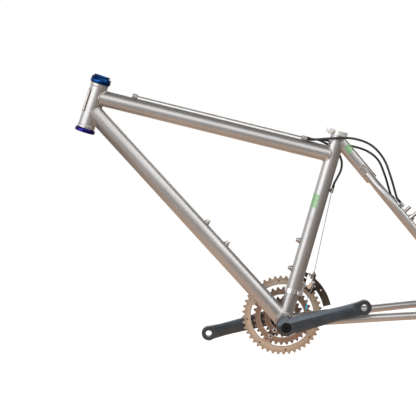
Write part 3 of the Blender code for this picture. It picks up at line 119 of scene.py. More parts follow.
REAR_SHIFT_HOUSING_ROUTE = (
    (-0.0260, 0.0125, 0.0335), (0.0040, 0.0215, 0.0270), (0.0420, 0.0240, 0.0180),
    (0.0795, 0.0285, 0.0055), (0.1045, 0.0335, -0.0148), (0.1208, 0.0392, -0.0498))
MECH_HOUSING_ROUTE = (
    (-0.0300, 0.0045, 0.0325), (-0.0080, 0.0150, 0.0215), (0.0090, 0.0215, 0.0111),
    (0.0180, 0.0215, -0.0029), (0.0220, 0.0165, -0.0179), (0.0190, 0.0080, -0.0349))
CUP_RADIUS = 0.0223
CUP_HEIGHT = 0.0090
CUP_SLEEVE = 0.012
CUP_WALL = 0.0015
CUP_FLOOR = 0.0018
CUP_RIM = 0.0018
COVER_HEIGHT = 0.0092
COVER_TOP_RADIUS = 0.0172
STEERER_RADIUS = 0.0145
CRANK_LENGTH = 0.1725
CRANK_ANGLE = math.radians(14.2)
CRANK_BOSS_RADIUS = 0.020
CRANK_BOSS_INNER = 0.048
CRANK_BOSS_OUTER = 0.073
BOSS_RIM = (0.0062, 0.0044)
CRANK_ROOT_INNER = 0.0625
CRANK_TIP_INNER = 0.0665
CRANK_THICKNESS = 0.0130
CRANK_HALF_WIDTHS = (
    (0.005, 0.0145), (0.022, 0.0175), (0.050, 0.0166), (0.090, 0.0150), (0.130, 0.0139), (0.152, 0.0144),
    (CRANK_LENGTH, 0.0156))
CRANK_EYE_RADIUS = 0.016
CRANK_EYE_RISE = 0.0002
FACET_ROOT = 0.0078
FACET_TIP = 0.0064
FACET_REACH = 0.150
FACET_TILT = math.radians(62.0)
FACET_DEPTH = 0.0150
FACET_ROOM = 0.020
PEDAL_HOLE = 0.00715
SPINDLE_HOLE = 0.0088
BOLT_SEAT = (0.0109, 0.063)
SPIDER_INNER = 0.0513
SPIDER_OUTER = 0.0560
SPIDER_REACH = 0.058
SPIDER_HALF_WIDTH = 0.008
SPIDER_ARMS = 4
SMALL_RING_FACE = 0.043
POST_CIRCLE = 0.036
POST_RADIUS = 0.005
RING_BOLT_CIRCLE = 0.0535
OUTER_PIVOT = Vector((0.0, 0.020, 0.084))
INNER_PIVOT = Vector((0.0, 0.009, 0.088))
CLAMP_PLATE_BACK = 0.0237
CAGE_PLATE_BACK = 0.0428
CABLE_ANCHOR = Vector((0.0351, -0.0035, 0.10325))
RING_RIDGES = (
    (0.0563, -1, ((0.0716, 0.0728), (0.0830, 0.0842))), (0.0588, 1, ((0.0716, 0.0728), (0.0830, 0.0842))),
    (0.0490, -1, ((0.0499, 0.0510), (0.0592, 0.0603))), (0.0410, -1, ((0.0294, 0.0305), (0.0390, 0.0400))))
CAGE_BODY = "mech_cage"
CAGE_FACE = 0.0525
CAGE_WIDTH = 0.0120
CAGE_CUTS = (
    (0.0780, 0.0950, math.radians(8.0), math.radians(37.0)),
    (0.0990, 0.1030, math.radians(52.0), math.radians(60.5)))
CAGE_RIVETS = ((0.1045, math.radians(46.0)), (0.0985, math.radians(42.0)), (0.1040, math.radians(33.0)))

RIGHT = Vector((0.0, 1.0, 0.0))
ORIGIN = Vector((0.0, 0.0, 0.0))
SEAT_UP = Vector((math.cos(SEAT_ANGLE), 0.0, math.sin(SEAT_ANGLE)))
SEAT_BACK = Vector((math.sin(SEAT_ANGLE), 0.0, -math.cos(SEAT_ANGLE)))
HEAD_UP = Vector((math.cos(HEAD_ANGLE), 0.0, math.sin(HEAD_ANGLE)))
SEAT_TOP = SEAT_UP * SEAT_LENGTH
TOP_START = HEAD_FOOT + HEAD_UP * TOP_HEAD_JOIN
TOP_END = SEAT_UP * (SEAT_LENGTH - TOP_SEAT_DROP)
TOP_BACK = (TOP_END - TOP_START).normalized()
DOWN_END = HEAD_FOOT + HEAD_UP * DOWN_HEAD_JOIN
DOWN_FORWARD = DOWN_END.normalized()
STAY_TOP = SEAT_UP * (SEAT_LENGTH - WISHBONE_DROP)
STAY_DOWN = (AXLE - STAY_TOP).normalized()
STAY_SPAN = (AXLE - STAY_TOP).length
STUD_DROP = STAY_SPAN - BRAKE_STUD_REACH
WISHBONE_END = STAY_TOP + STAY_DOWN * WISHBONE_LENGTH
HEAD_SOLID = (HEAD_FOOT, HEAD_FOOT + HEAD_UP * HEAD_LENGTH, HEAD_RADIUS)
SEAT_SOLID = (ORIGIN, SEAT_TOP, SEAT_RADIUS)
SHELL_SOLID = (RIGHT * -SHELL_WIDTH / 2, RIGHT * SHELL_WIDTH / 2, SHELL_RADIUS)
WISHBONE_SOLID = (STAY_TOP, WISHBONE_END, WISHBONE_RADIUS)
SIDES = (("left", -1), ("right", 1))


# Shader maths
BUMP_DEPTH = 0.0002
WHITE = (1.0, 1.0, 1.0)


class Value:
    """A socket of one finish; sums, differences and products of it add Math nodes."""

    def __init__(self, finish, socket):
        self.finish = finish
        self.socket = socket

    def maths(self, operation, first, second):
        return self.finish.node("ShaderNodeMath", {"operation": operation}, {0: first, 1: second})

    def __add__(self, other):
        return self.maths("ADD", self, other)

    __radd__ = __add__

    def __sub__(self, other):
        return self.maths("SUBTRACT", self, other)

    def __rsub__(self, other):
        return self.maths("SUBTRACT", other, self)

    def __mul__(self, other):
        return self.maths("MULTIPLY", self, other)

    __rmul__ = __mul__

    def __pow__(self, other):
        return self.maths("POWER", self, other)


class Finish:
    """One material or world, with short ways to add and feed its nodes."""

    def __init__(self, holder, coordinates="Object"):
        holder.use_nodes = True
        self.holder = holder
        self.tree = holder.node_tree
        self.shader = self.tree.nodes.get("Principled BSDF")
        self.where = self.node("ShaderNodeTexCoord", output=coordinates)

    def feed(self, socket, value):
        """Link a value to a socket, or set it there; a colour gets full alpha."""
        if isinstance(value, Value):
            self.tree.links.new(value.socket, socket)
        else:
            socket.default_value = (*value, 1.0) if socket.type == "RGBA" else value

    def node(self, kind, settings=None, inputs=None, output=0):
        """Add one node: its settings first, then its sockets' values or links."""
        made = self.tree.nodes.new(kind)
        for key, value in (settings or {}).items():
            setattr(made, key, value)
        for key, value in (inputs or {}).items():
            self.feed(made.inputs[key], value)
        return Value(self, made.outputs[output])

    def axes(self):
        """The X, Y and Z of each point."""
        x = self.node("ShaderNodeSeparateXYZ", None, {"Vector": self.where})
        return [Value(self, socket) for socket in x.socket.node.outputs]

    def noise(self, scale, detail=2.0, roughness=0.5):
        return self.node("ShaderNodeTexNoise", None, {
            "Vector": self.where, "Scale": scale, "Detail": detail, "Roughness": roughness})

    def step(self, value, low, high):
        """0 below low, 1 above high and smooth between."""
        return self.node("ShaderNodeMapRange", {"interpolation_type": "SMOOTHSTEP"}, {
            "Value": value, "From Min": low, "From Max": high})

    def blend(self, factor, first, second):
        """One colour into another."""
        return self.node("ShaderNodeMix", {"data_type": "RGBA"}, {
            "Factor": factor, 6: first, 7: second}, output=2)

    def bump(self, height, strength):
        return self.node("ShaderNodeBump", None, {
            "Height": height, "Strength": strength, "Distance": BUMP_DEPTH})

    def set(self, **values):
        for key, value in values.items():
            self.feed(self.shader.inputs[key.replace("_", " ").title()], value)
        return self.holder


def new_finish(name):
    return Finish(bpy.data.materials.new(name))


def metal(name, dark, light, roughness, cloud, metallic=1.0):
    """A bare or dyed metal: two close tones in clouds, uneven gloss and a fine grain."""
    f = new_finish(name)
    clouds = f.step(f.noise(cloud, 4.0), 0.30, 0.70)
    rub = f.noise(cloud * 9.0, 5.0, 0.65)
    return f.set(
        base_color=f.blend(clouds, dark, light),
        roughness=roughness + (rub - 0.5) * 0.10,
        metallic=metallic,
        normal=f.bump(f.noise(2400.0), 0.05))


def titanium_finish():
    """Bead-blasted titanium: warm grey, satin, faintly clouded, handled darker in places."""
    f = new_finish("satin_titanium")
    clouds = f.step(f.noise(7.0, 3.0), 0.30, 0.70)
    rub = f.noise(60.0, 6.0, 0.62)
    smear = f.step(f.noise(24.0, 5.0, 0.60), 0.54, 0.74)
    tone = f.blend(clouds, (0.405, 0.400, 0.398), (0.455, 0.450, 0.448))
    return f.set(
        base_color=f.blend(smear * 0.22, tone, (0.330, 0.318, 0.305)),
        roughness=0.37 + (rub - 0.5) * 0.06 + smear * 0.03,
        metallic=0.86,
        normal=f.bump(f.noise(900.0), 0.015))


def weld_finish():
    """Weld metal: brighter than the tubes, with straw and faint blue heat colours along the bead."""
    f = new_finish("weld_metal")
    heat = f.noise(90.0)
    straw = f.blend(f.step(heat, 0.40, 0.66), (0.50, 0.48, 0.455), (0.50, 0.45, 0.395))
    tint = f.blend(f.step(heat, 0.66, 0.78), straw, (0.40, 0.40, 0.43))
    grain = f.noise(1800.0)
    return f.set(base_color=tint, roughness=0.30 + grain * 0.10, metallic=0.92, normal=f.bump(grain, 0.08))


def ring_finish(name, band, rim, tooth_root):
    """A worn chainring: pale machined band, browner and dirtier towards its teeth."""
    f = new_finish(name)
    x, _, z = f.axes()
    radius = (x * x + z * z) ** 0.5
    dirt = f.noise(130.0, 6.0, 0.65)
    outer = f.step(radius + (dirt - 0.5) * 0.006, tooth_root - 0.010, tooth_root + 0.002)
    lines = f.node("ShaderNodeTexWave", {"wave_type": "RINGS", "rings_direction": "Y"}, {
        "Vector": f.where, "Scale": 420.0, "Distortion": 0.6, "Detail": 1.0})
    spots = f.step(dirt, 0.57, 0.72)
    return f.set(
        base_color=f.blend(spots * 0.55, f.blend(outer, band, rim), (0.07, 0.052, 0.040)),
        roughness=0.40 + spots * 0.25 + (dirt - 0.5) * 0.12,
        metallic=0.35,
        normal=f.bump(lines, 0.05))


def crank_finish():
    """Dark slate grey anodised arms, rubbed a little paler in clouds."""
    f = new_finish("slate_crank")
    clouds = f.step(f.noise(26.0, 4.0), 0.35, 0.70)
    scuff = f.step(f.noise(210.0, 6.0, 0.70), 0.64, 0.78)
    tone = f.blend(clouds, (0.062, 0.074, 0.088), (0.088, 0.103, 0.120))
    return f.set(
        base_color=f.blend(scuff * 0.30, tone, (0.22, 0.24, 0.26)),
        roughness=0.34 + scuff * 0.16,
        metallic=0.80,
        normal=f.bump(f.noise(2600.0), 0.05))


def plastic(name, dark, light, roughness):
    """A plain plastic with a faint haze."""
    f = new_finish(name)
    haze = f.noise(60.0, 5.0, 0.6)
    return f.set(
        base_color=f.blend(f.step(haze, 0.40, 0.72), dark, light),
        roughness=roughness + (haze - 0.5) * 0.18,
        normal=f.bump(f.noise(1600.0), 0.05))


TITANIUM = titanium_finish()
WELD_METAL = weld_finish()
BLUE_UPPER = metal("blue_anodised", (0.004, 0.028, 0.12), (0.008, 0.055, 0.21), 0.20, 50.0)
BLUE_LOWER = metal("navy_anodised", (0.010, 0.007, 0.095), (0.021, 0.017, 0.175), 0.20, 50.0)
STEEL = metal("bright_steel", (0.50, 0.49, 0.47), (0.64, 0.63, 0.61), 0.27, 40.0)
SILVER = metal("polished_silver", (0.68, 0.68, 0.67), (0.82, 0.82, 0.81), 0.20, 40.0)
PALE_SILVER = metal("pale_silver", (0.70, 0.70, 0.69), (0.84, 0.84, 0.83), 0.26, 40.0, 0.45)
BLACK_STEEL = metal("black_satin", (0.010, 0.010, 0.011), (0.020, 0.020, 0.021), 0.34, 60.0, 0.6)
CAGE_STEEL = metal("dark_worn_steel", (0.075, 0.062, 0.050), (0.150, 0.128, 0.105), 0.40, 70.0)
BRONZE = metal("dull_bronze", (0.21, 0.13, 0.09), (0.33, 0.22, 0.16), 0.38, 80.0)
WIRE = metal("steel_wire", (0.34, 0.33, 0.32), (0.48, 0.47, 0.45), 0.32, 90.0)
CRANK_GREY = crank_finish()
LARGE_RING = ring_finish("sandy_ring", (0.60, 0.490, 0.385), (0.45, 0.345, 0.255), 0.0855)
MIDDLE_RING = ring_finish("brown_ring", (0.36, 0.240, 0.180), (0.23, 0.145, 0.108), 0.0613)
SMALL_RING = ring_finish("dark_ring", (0.25, 0.165, 0.120), (0.14, 0.090, 0.066), 0.0411)
RING_RIDGE = metal("pale_ridge", (0.50, 0.41, 0.33), (0.64, 0.55, 0.46), 0.34, 60.0, 0.60)
JACKET = plastic("black_jacket", (0.008, 0.008, 0.009), (0.016, 0.016, 0.017), 0.34)
GREEN = plastic("green_band", (0.12, 0.43, 0.11), (0.18, 0.53, 0.16), 0.40)
CAP_BLUE = plastic("blue_end_cap", (0.015, 0.47, 0.74), (0.030, 0.55, 0.84), 0.35)


# Meshes
def columns(origin, x, y, z):
    matrix = Matrix((x, y, z)).transposed().to_4x4()
    matrix.translation = origin
    return matrix


def along(origin, axis):
    """A frame at origin with its local Z along axis."""
    z = axis.normalized()
    hint = RIGHT if abs(z.dot(RIGHT)) < 0.9 else Vector((1.0, 0.0, 0.0))
    x = (hint - z * hint.dot(z)).normalized()
    return columns(origin, x, z.cross(x), z)


def frame_at(origin, x_axis):
    """A frame at origin with local X along x_axis and local Y towards the bicycle's right."""
    x = x_axis.normalized()
    z = x.cross(RIGHT).normalized()
    return columns(origin, x, z.cross(x), z)


SEAT_FRAME = frame_at(ORIGIN, SEAT_BACK)


def close(bm, distance=WELD):
    """Merge doubled corners and turn the faces outwards."""
    bmesh.ops.remove_doubles(bm, verts=bm.verts, dist=distance)
    bmesh.ops.recalc_face_normals(bm, faces=bm.faces)


def raw_mesh(bm, name):
    mesh = bpy.data.meshes.new(name)
    bm.to_mesh(mesh)
    bm.free()
    return mesh


def to_mesh(bm, name):
    """A clean, smooth shaded mesh with crisp edges."""
    close(bm)
    return smooth(raw_mesh(bm, name))


def smooth(mesh):
    mesh.shade_smooth()
    mesh.set_sharp_from_angle(angle=SHARP_EDGE)
    return mesh


def bar(radius, start, end, sides=FINE):
    bm = bmesh.new()
    axis = end - start
    bmesh.ops.create_cone(
        bm, cap_ends=True, segments=sides, radius1=radius, radius2=radius,
        depth=axis.length, matrix=along(start + axis / 2, axis))
    return bm


def block(low, high, place):
    bm = bmesh.new()
    bmesh.ops.create_cube(bm, size=1.0)
    bmesh.ops.scale(bm, vec=high - low, verts=bm.verts)
    bmesh.ops.translate(bm, vec=(low + high) / 2, verts=bm.verts)
    bmesh.ops.transform(bm, matrix=place, verts=bm.verts)
    return bm


def turned(profile, place, steps=FINE, closed=True):
    """A form turned about the frame's Z from a profile of (radius, height)."""
    bm = bmesh.new()
    corners = [bm.verts.new((radius, 0.0, height)) for radius, height in profile]
    edges = [bm.edges.new(pair) for pair in zip(corners, corners[1:])]
    if closed:
        edges.append(bm.edges.new((corners[-1], corners[0])))
    bmesh.ops.spin(
        bm, geom=corners + edges, cent=(0, 0, 0), axis=(0, 0, 1), dvec=(0, 0, 0),
        angle=math.tau, steps=steps, use_merge=True, use_duplicate=False)
    close(bm)
    bmesh.ops.transform(bm, matrix=place, verts=bm.verts)
    return bm


def fixing(profile, centre, way):
    """A small turned form, such as a bolt's head or a rivet, that stands on a face."""
    return turned(profile, along(centre, way), SMALL, closed=False)


def placed(name, data):
    """A new object in the scene."""
    item = bpy.data.objects.new(name, data)
    bpy.context.scene.collection.objects.link(item)
    return item


def solid(bm, name):
    return placed(name, raw_mesh(bm, name))


def carved(name, base, joined=(), cut=()):
    """The mesh of a solid with other solids joined to it and then cut from it."""
    body = solid(base, name)
    tools = []
    for operation, forms in (("UNION", joined), ("DIFFERENCE", cut)):
        for form in forms:
            tool = solid(form, name + "_tool")
            tools.append(tool)
            change = body.modifiers.new(operation, "BOOLEAN")
            change.operation = operation
            change.solver = "EXACT"
            change.object = tool
    graph = bpy.context.evaluated_depsgraph_get()
    mesh = bpy.data.meshes.new_from_object(body.evaluated_get(graph))
    for item in [body, *tools]:
        old = item.data
        bpy.data.objects.remove(item, do_unlink=True)
        bpy.data.meshes.remove(old)
    mesh.name = name
    return smooth(mesh)


def swept(name, points, radii, resolution, closed=False):
    """A round form along points, with a radius at each."""
    curve = bpy.data.curves.new(name, "CURVE")
    curve.dimensions = "3D"
    curve.bevel_depth = radii[0]
    curve.bevel_resolution = resolution
    curve.use_fill_caps = not closed
    spline = curve.splines.new("POLY")
    spline.points.add(len(points) - 1)
    spline.use_cyclic_u = closed
    for knot, point, radius in zip(spline.points, points, radii):
        knot.co = (*point, 1.0)
        knot.radius = radius / radii[0]
    carrier = placed(name, curve)
    graph = bpy.context.evaluated_depsgraph_get()
    mesh = bpy.data.meshes.new_from_object(carrier.evaluated_get(graph))
    bpy.data.objects.remove(carrier, do_unlink=True)
    bpy.data.curves.remove(curve)
    bm = bmesh.new()
    bm.from_mesh(mesh)
    bpy.data.meshes.remove(mesh)
    close(bm, WELD / 5)
    return bm


def cord(name, path, radius, resolution):
    return to_mesh(swept(name, path, [radius] * len(path), resolution), name)


def smooth_path(points, steps):
    """A smooth curve through points that doesn't overshoot, read at a few places in each span."""
    ends = [points[0] * 2 - points[1]] + points + [points[-1] * 2 - points[-2]]
    path = []
    for p0, p1, p2, p3 in zip(ends, ends[1:], ends[2:], ends[3:]):
        t0 = -math.sqrt((p1 - p0).length)
        t2 = math.sqrt((p2 - p1).length)
        t3 = t2 + math.sqrt((p3 - p2).length)
        for step in range(steps):
            t = t2 * step / steps
            near = p0.lerp(p1, (t - t0) / -t0)
            middle = p1.lerp(p2, t / t2)
            far = p2.lerp(p3, (t - t2) / (t3 - t2))
            first = near.lerp(middle, (t - t0) / (t2 - t0))
            second = middle.lerp(far, t / t3)
            path.append(first.lerp(second, t / t2))
    path.append(points[-1])
    return path


# Pieces
def piece(name, mesh, finish, body, slot, *nodes):
    """Show a mesh as a piece that rides on a body, and that may stand for some nodes."""
    item = placed(name, mesh)
    mesh.materials.clear()
    mesh.materials.append(finish)
    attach(item, body)
    if nodes:
        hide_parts(*nodes)
    return item


def soften(item, width, segments=3, angle=SHARP_EDGE):
    """Round an item's crisp edges."""
    edge = item.modifiers.new("rounded edges", "BEVEL")
    edge.limit_method = "ANGLE"
    edge.angle_limit = angle
    edge.width = width
    edge.segments = segments
    edge.profile = 0.5
    edge.harden_normals = True
    return item


DRESS_CORNER = math.radians(38.0)
FLAT_ANGLE = math.radians(1.0)


def dress(finish, width, *names):
    """Give solids a finish, a smooth surface and softly broken edges."""
    for name in names:
        node = NODES[name]
        node.data.materials.clear()
        node.data.materials.append(finish)
        normals = node.data.attributes.get("custom_normal")
        if normals:
            node.data.attributes.remove(normals)
        node.data.shade_smooth()
        weld = node.modifiers.new("closed", "WELD")
        weld.merge_threshold = WELD / 2
        flat = node.modifiers.new("whole faces", "DECIMATE")
        flat.decimate_type = "DISSOLVE"
        flat.angle_limit = FLAT_ANGLE
        soften(node, width, 2, DRESS_CORNER)


# Main tubes
HEAD_EDGE = 0.0005
SHELL_EDGE = 0.0006
WISHBONE_EDGE = 0.0012
STAY_EDGE = 0.0015
STAY_STEPS = 8
STAY_ROUND = 10


def tube_skin(name, mesh, node, width=None):
    """Show a titanium tube, with its crisp edges rounded where a width is given."""
    skin = piece(name, mesh, TITANIUM, "frame", "titanium", node)
    if width:
        soften(skin, width)


def shell_tool():
    """A bar that clears room for the bottom bracket shell."""
    return bar(SHELL_RADIUS + GAP, RIGHT * -SHELL_WIDTH, RIGHT * SHELL_WIDTH)


def make_main_tubes():
    ring = HEAD_RADIUS + HEAD_RING_STEP
    ring_end = HEAD_RING_HEIGHT + HEAD_RING_STEP
    profile = (
        (ring, HEAD_LENGTH), (ring, HEAD_LENGTH - HEAD_RING_HEIGHT), (HEAD_RADIUS, HEAD_LENGTH - ring_end),
        (HEAD_RADIUS, ring_end), (ring, HEAD_RING_HEIGHT), (ring, 0.0),
        (HEAD_BORE, 0.0), (HEAD_BORE, HEAD_LENGTH))
    head = to_mesh(turned(profile, along(HEAD_FOOT, HEAD_UP)), "head_tube_skin")
    tube_skin("head_tube_skin", head, "head_tube", HEAD_EDGE)

    half = SHELL_WIDTH / 2
    profile = ((SHELL_RADIUS, half), (SHELL_RADIUS, -half), (SHELL_BORE, -half), (SHELL_BORE, half))
    shell = to_mesh(turned(profile, along(ORIGIN, RIGHT)), "shell_skin")
    tube_skin("shell_skin", shell, "bottom_bracket_shell", SHELL_EDGE)

    sleeve_end = SEAT_UP * (SEAT_LENGTH - SEATPOST_DEPTH)
    slot_low = Vector((-SEAT_RADIUS - BIT, -SEAT_SLOT_WIDTH / 2, SEAT_LENGTH - SEAT_SLOT_LENGTH))
    slot_high = Vector((-SEATPOST_RADIUS / 2, SEAT_SLOT_WIDTH / 2, SEAT_LENGTH + BIT))
    seat = carved("seat_tube_skin", bar(SEAT_RADIUS, ORIGIN, SEAT_TOP), cut=(
        bar(SEAT_RADIUS - TUBE_WALL, SEAT_UP * -BIT, sleeve_end),
        bar(SEATPOST_RADIUS, sleeve_end - SEAT_UP * BIT, SEAT_TOP + SEAT_UP * BIT),
        shell_tool(), block(slot_low, slot_high, SEAT_FRAME)))
    tube_skin("seat_tube_skin", seat, "seat_tube")

    head_tool = bar(HEAD_RADIUS + GAP, HEAD_FOOT - HEAD_UP * BIT, HEAD_FOOT + HEAD_UP * (HEAD_LENGTH + BIT))
    seat_tool = bar(SEAT_RADIUS + GAP, SEAT_UP * -BIT, SEAT_TOP + SEAT_UP * BIT)
    down_stop = DOWN_END - DOWN_FORWARD * DOWN_HEAD_SETBACK
    down = carved("down_tube_skin", bar(DOWN_RADIUS, ORIGIN, down_stop), cut=(
        bar(DOWN_RADIUS - TUBE_WALL, DOWN_FORWARD * -BIT, DOWN_END),
        shell_tool(), seat_tool.copy(), head_tool.copy()))
    tube_skin("down_tube_skin", down, "down_tube")

    top_stop = TOP_END - TOP_BACK * TOP_SEAT_SETBACK
    top = carved("top_tube_skin", bar(TOP_RADIUS, TOP_START, top_stop), cut=(
        bar(TOP_RADIUS - TUBE_WALL, TOP_START - TOP_BACK * BIT, TOP_END), head_tool, seat_tool.copy()))
    tube_skin("top_tube_skin", top, "top_tube")

    wishbone = carved("wishbone_skin", bar(WISHBONE_RADIUS, STAY_TOP, WISHBONE_END), cut=(seat_tool,))
    tube_skin("wishbone_skin", wishbone, "wishbone_tube", WISHBONE_EDGE)


# Stays
def stay_tip(end, way, side):
    outside = RIGHT * side * DROPOUT_CENTRE
    return [end - way * (STAY_STRAIGHT * share) + outside for share in (1.0, 0.5, 0.0)]


def chainstay_path(side, steps=2):
    way = AXLE.normalized()
    end = way * (AXLE.length - CHAINSTAY_SHOULDER - GAP)
    rise = end.z / end.x
    knots = [Vector((x, side * spread, x * rise)) for x, spread in (CHAINSTAY_START, *CHAINSTAY_BEND)]
    return smooth_path(knots + stay_tip(end, way, side), steps)


def seatstay_path(side, steps=2):
    knots = [STAY_TOP + STAY_DOWN * reach + RIGHT * side * spread for reach, spread in SEATSTAY_KNOTS]
    end = STAY_TOP + STAY_DOWN * (STAY_SPAN - SEATSTAY_SHOULDER - GAP)
    return smooth_path(knots + stay_tip(end, STAY_DOWN, side), steps)


def seatstay_frame(side, reach):
    """A frame on a seatstay's axis at a distance below the seat tube, local X down the stay."""
    path = seatstay_path(side)
    for a, b in zip(path, path[1:]):
        near = (a - STAY_TOP).dot(STAY_DOWN)
        far = (b - STAY_TOP).dot(STAY_DOWN)
        if near <= reach <= far:
            return frame_at(a.lerp(b, (reach - near) / (far - near)), b - a)
    raise ValueError("no seatstay at that distance")


def make_stays():
    for word, side in SIDES:
        path = chainstay_path(side, STAY_STEPS)
        slope = (CHAINSTAY_TIP_RADIUS - CHAINSTAY_RADIUS) / path[-1].x
        taper = [CHAINSTAY_RADIUS + slope * point.x for point in path]
        name = word + "_chainstay_skin"
        stay = carved(name, swept(name, path, taper, STAY_ROUND), cut=(shell_tool(),))
        tube_skin(name, stay, word + "_chainstay", STAY_EDGE)
        path = seatstay_path(side, STAY_STEPS)
        name = word + "_seatstay_skin"
        joint = bar(WISHBONE_RADIUS + GAP, STAY_TOP, WISHBONE_END + STAY_DOWN * GAP)
        stay = carved(name, swept(name, path, [SEATSTAY_RADIUS] * len(path), STAY_ROUND), cut=(joint,))
        tube_skin(name, stay, word + "_seatstay", STAY_EDGE)


# Weld beads
BEAD_RADIUS = 0.0016
BEAD_PITCH = 0.00045
BEAD_RIPPLE = (1.0, 1.05, 1.02, 0.93)
THIN_BEAD = 0.0013
STUD_BEAD = 0.0009
BOSS_BEAD = 0.0008
FOOT_PITCH = 0.0003
SEAM_LIFT = 0.0007
SEAM_STEP = 0.0008
SEAM_REACH = 0.09
SEAM_SPOTS = 160
FOOT_SPOTS = 60
FOOT_TUBE = 0.03
SEAM_HALVINGS = 8
BEAD_ROUND = 3
RIPPLES = len(BEAD_RIPPLE)
TOP_FRONT_LEAD = 0.07
TOP_REAR_LEAD = 0.06
DOWN_FRONT_LEAD = 0.08
DOWN_REAR_LEAD = 0.09
SEAT_LEAD = 0.06
WISHBONE_LEAD = 0.08
STAY_LEAD = 0.05
STUD_LEAD = 0.013
BOSS_LEAD = 0.003
# Where each search starts, its way, the tube's radius, what the tube runs into and how far to look
MAIN_SEAMS = (
    (TOP_START + TOP_BACK * TOP_FRONT_LEAD, -TOP_BACK, TOP_RADIUS, [HEAD_SOLID], SEAM_REACH),
    (DOWN_END - DOWN_FORWARD * DOWN_FRONT_LEAD, DOWN_FORWARD, DOWN_RADIUS, [HEAD_SOLID],
     DOWN_FRONT_LEAD - DOWN_HEAD_SETBACK),
    (TOP_END - TOP_BACK * TOP_REAR_LEAD, TOP_BACK, TOP_RADIUS, [SEAT_SOLID],
     TOP_REAR_LEAD - TOP_SEAT_SETBACK),
    (DOWN_FORWARD * DOWN_REAR_LEAD, -DOWN_FORWARD, DOWN_RADIUS, [SHELL_SOLID, SEAT_SOLID], SEAM_REACH),
    (SEAT_UP * SEAT_LEAD, -SEAT_UP, SEAT_RADIUS, [SHELL_SOLID], SEAM_REACH),
    (STAY_TOP + STAY_DOWN * WISHBONE_LEAD, -STAY_DOWN, WISHBONE_RADIUS, [SEAT_SOLID], SEAM_REACH))


def within(point, solids):
    for start, end, radius in solids:
        axis = (end - start).normalized()
        rest = point - start
        height = rest.dot(axis)
        lift = radius + SEAM_LIFT
        if -SEAM_LIFT <= height <= (end - start).length + SEAM_LIFT and (rest - axis * height).length < lift:
            return True
    return False


def seam(start, way, radius, solids, reach=SEAM_REACH, count=SEAM_SPOTS):
    """Points round a tube where its surface, followed along its way, first runs into other solids."""
    side = way.orthogonal().normalized()
    up = way.cross(side)
    points = []
    for index in range(count):
        turn = math.tau * index / count
        rim = start + (side * math.cos(turn) + up * math.sin(turn)) * radius
        far = 0.0
        while far < reach and not within(rim + way * far, solids):
            far = min(far + SEAM_STEP, reach)
        near = far - SEAM_STEP
        for _ in range(SEAM_HALVINGS):
            middle = (near + far) / 2
            if within(rim + way * middle, solids):
                far = middle
            else:
                near = middle
        points.append(rim + way * far)
    return points


def even(points, pitch):
    """A closed line read again at even steps, a whole number of ripples long."""
    loop = points + points[:1]
    lengths = [(b - a).length for a, b in zip(loop, loop[1:])]
    count = max(4, round(sum(lengths) / pitch / RIPPLES)) * RIPPLES
    step = sum(lengths) / count
    read = []
    index = 0
    gone = 0.0
    for number in range(count):
        want = number * step
        while gone + lengths[index] < want:
            gone += lengths[index]
            index += 1
        read.append(loop[index].lerp(loop[index + 1], (want - gone) / max(lengths[index], WELD / 10)))
    return read


def bead(points, radius=BEAD_RADIUS, pitch=BEAD_PITCH):
    """A rippled bead of weld metal along a closed seam."""
    path = even(points, pitch)
    radii = [radius * BEAD_RIPPLE[index % RIPPLES] for index in range(len(path))]
    return swept("bead", path, radii, BEAD_ROUND, closed=True)


def foot_bead(centre, out, way, tube_radius, lead, radius, thickness):
    """The bead round the foot of a boss or a stud that stands on a tube."""
    tube = (centre - way * FOOT_TUBE, centre + way * FOOT_TUBE, tube_radius)
    points = seam(centre + out * lead, -out, radius, [tube], count=FOOT_SPOTS)
    return bead(points, thickness, FOOT_PITCH)


def gather(name, forms, finish, body, slot):
    """Several forms as one piece."""
    whole = bmesh.new()
    for form in forms:
        mesh = raw_mesh(form, name)
        whole.from_mesh(mesh)
        bpy.data.meshes.remove(mesh)
    return piece(name, smooth(raw_mesh(whole, name)), finish, body, slot)


def make_welds():
    gather("main_weld_beads", [bead(seam(*line)) for line in MAIN_SEAMS], WELD_METAL, "frame", "titanium")
    rear = []
    for _, side in SIDES:
        chainstay = (chainstay_path(side), CHAINSTAY_RADIUS, CHAINSTAY_TIP_RADIUS, SHELL_SOLID, BEAD_RADIUS)
        seatstay = (seatstay_path(side), SEATSTAY_RADIUS, SEATSTAY_RADIUS, WISHBONE_SOLID, THIN_BEAD)
        for path, radius, tip, other, thickness in (chainstay, seatstay):
            way = (path[0] - path[1]).normalized()
            rear.append(bead(seam(path[0] - way * STAY_LEAD, way, radius, [other]), thickness))
            place = along(path[-1], path[-1] - path[-2])
            turns = [math.tau * spot / FOOT_SPOTS for spot in range(FOOT_SPOTS)]
            reach = tip - BIT
            rim = [Vector((math.cos(turn) * reach, math.sin(turn) * reach, -BIT)) for turn in turns]
            rear.append(bead([place @ point for point in rim], THIN_BEAD))
        stud = seatstay_frame(side, STUD_DROP)
        way, _, out = [column.to_3d() for column in stud.col[:3]]
        rear.append(foot_bead(
            stud.translation, out, way, SEATSTAY_RADIUS, STUD_LEAD, BRAKE_STUD_RADIUS, STUD_BEAD))
    gather("rear_weld_beads", rear, WELD_METAL, "frame", "titanium")
    down_side = -DOWN_FORWARD.cross(RIGHT)
    spots = [(DOWN_FORWARD * reach, down_side, DOWN_FORWARD, DOWN_RADIUS) for reach in DOWN_BOSSES]
    spots += [(SEAT_UP * reach, -SEAT_BACK, SEAT_UP, SEAT_RADIUS) for reach in SEAT_BOSSES]
    feet = [foot_bead(*spot, spot[-1] + BOSS_LEAD, BOSS_RADIUS, BOSS_BEAD) for spot in spots]
    gather("boss_weld_beads", feet, WELD_METAL, "frame", "titanium")


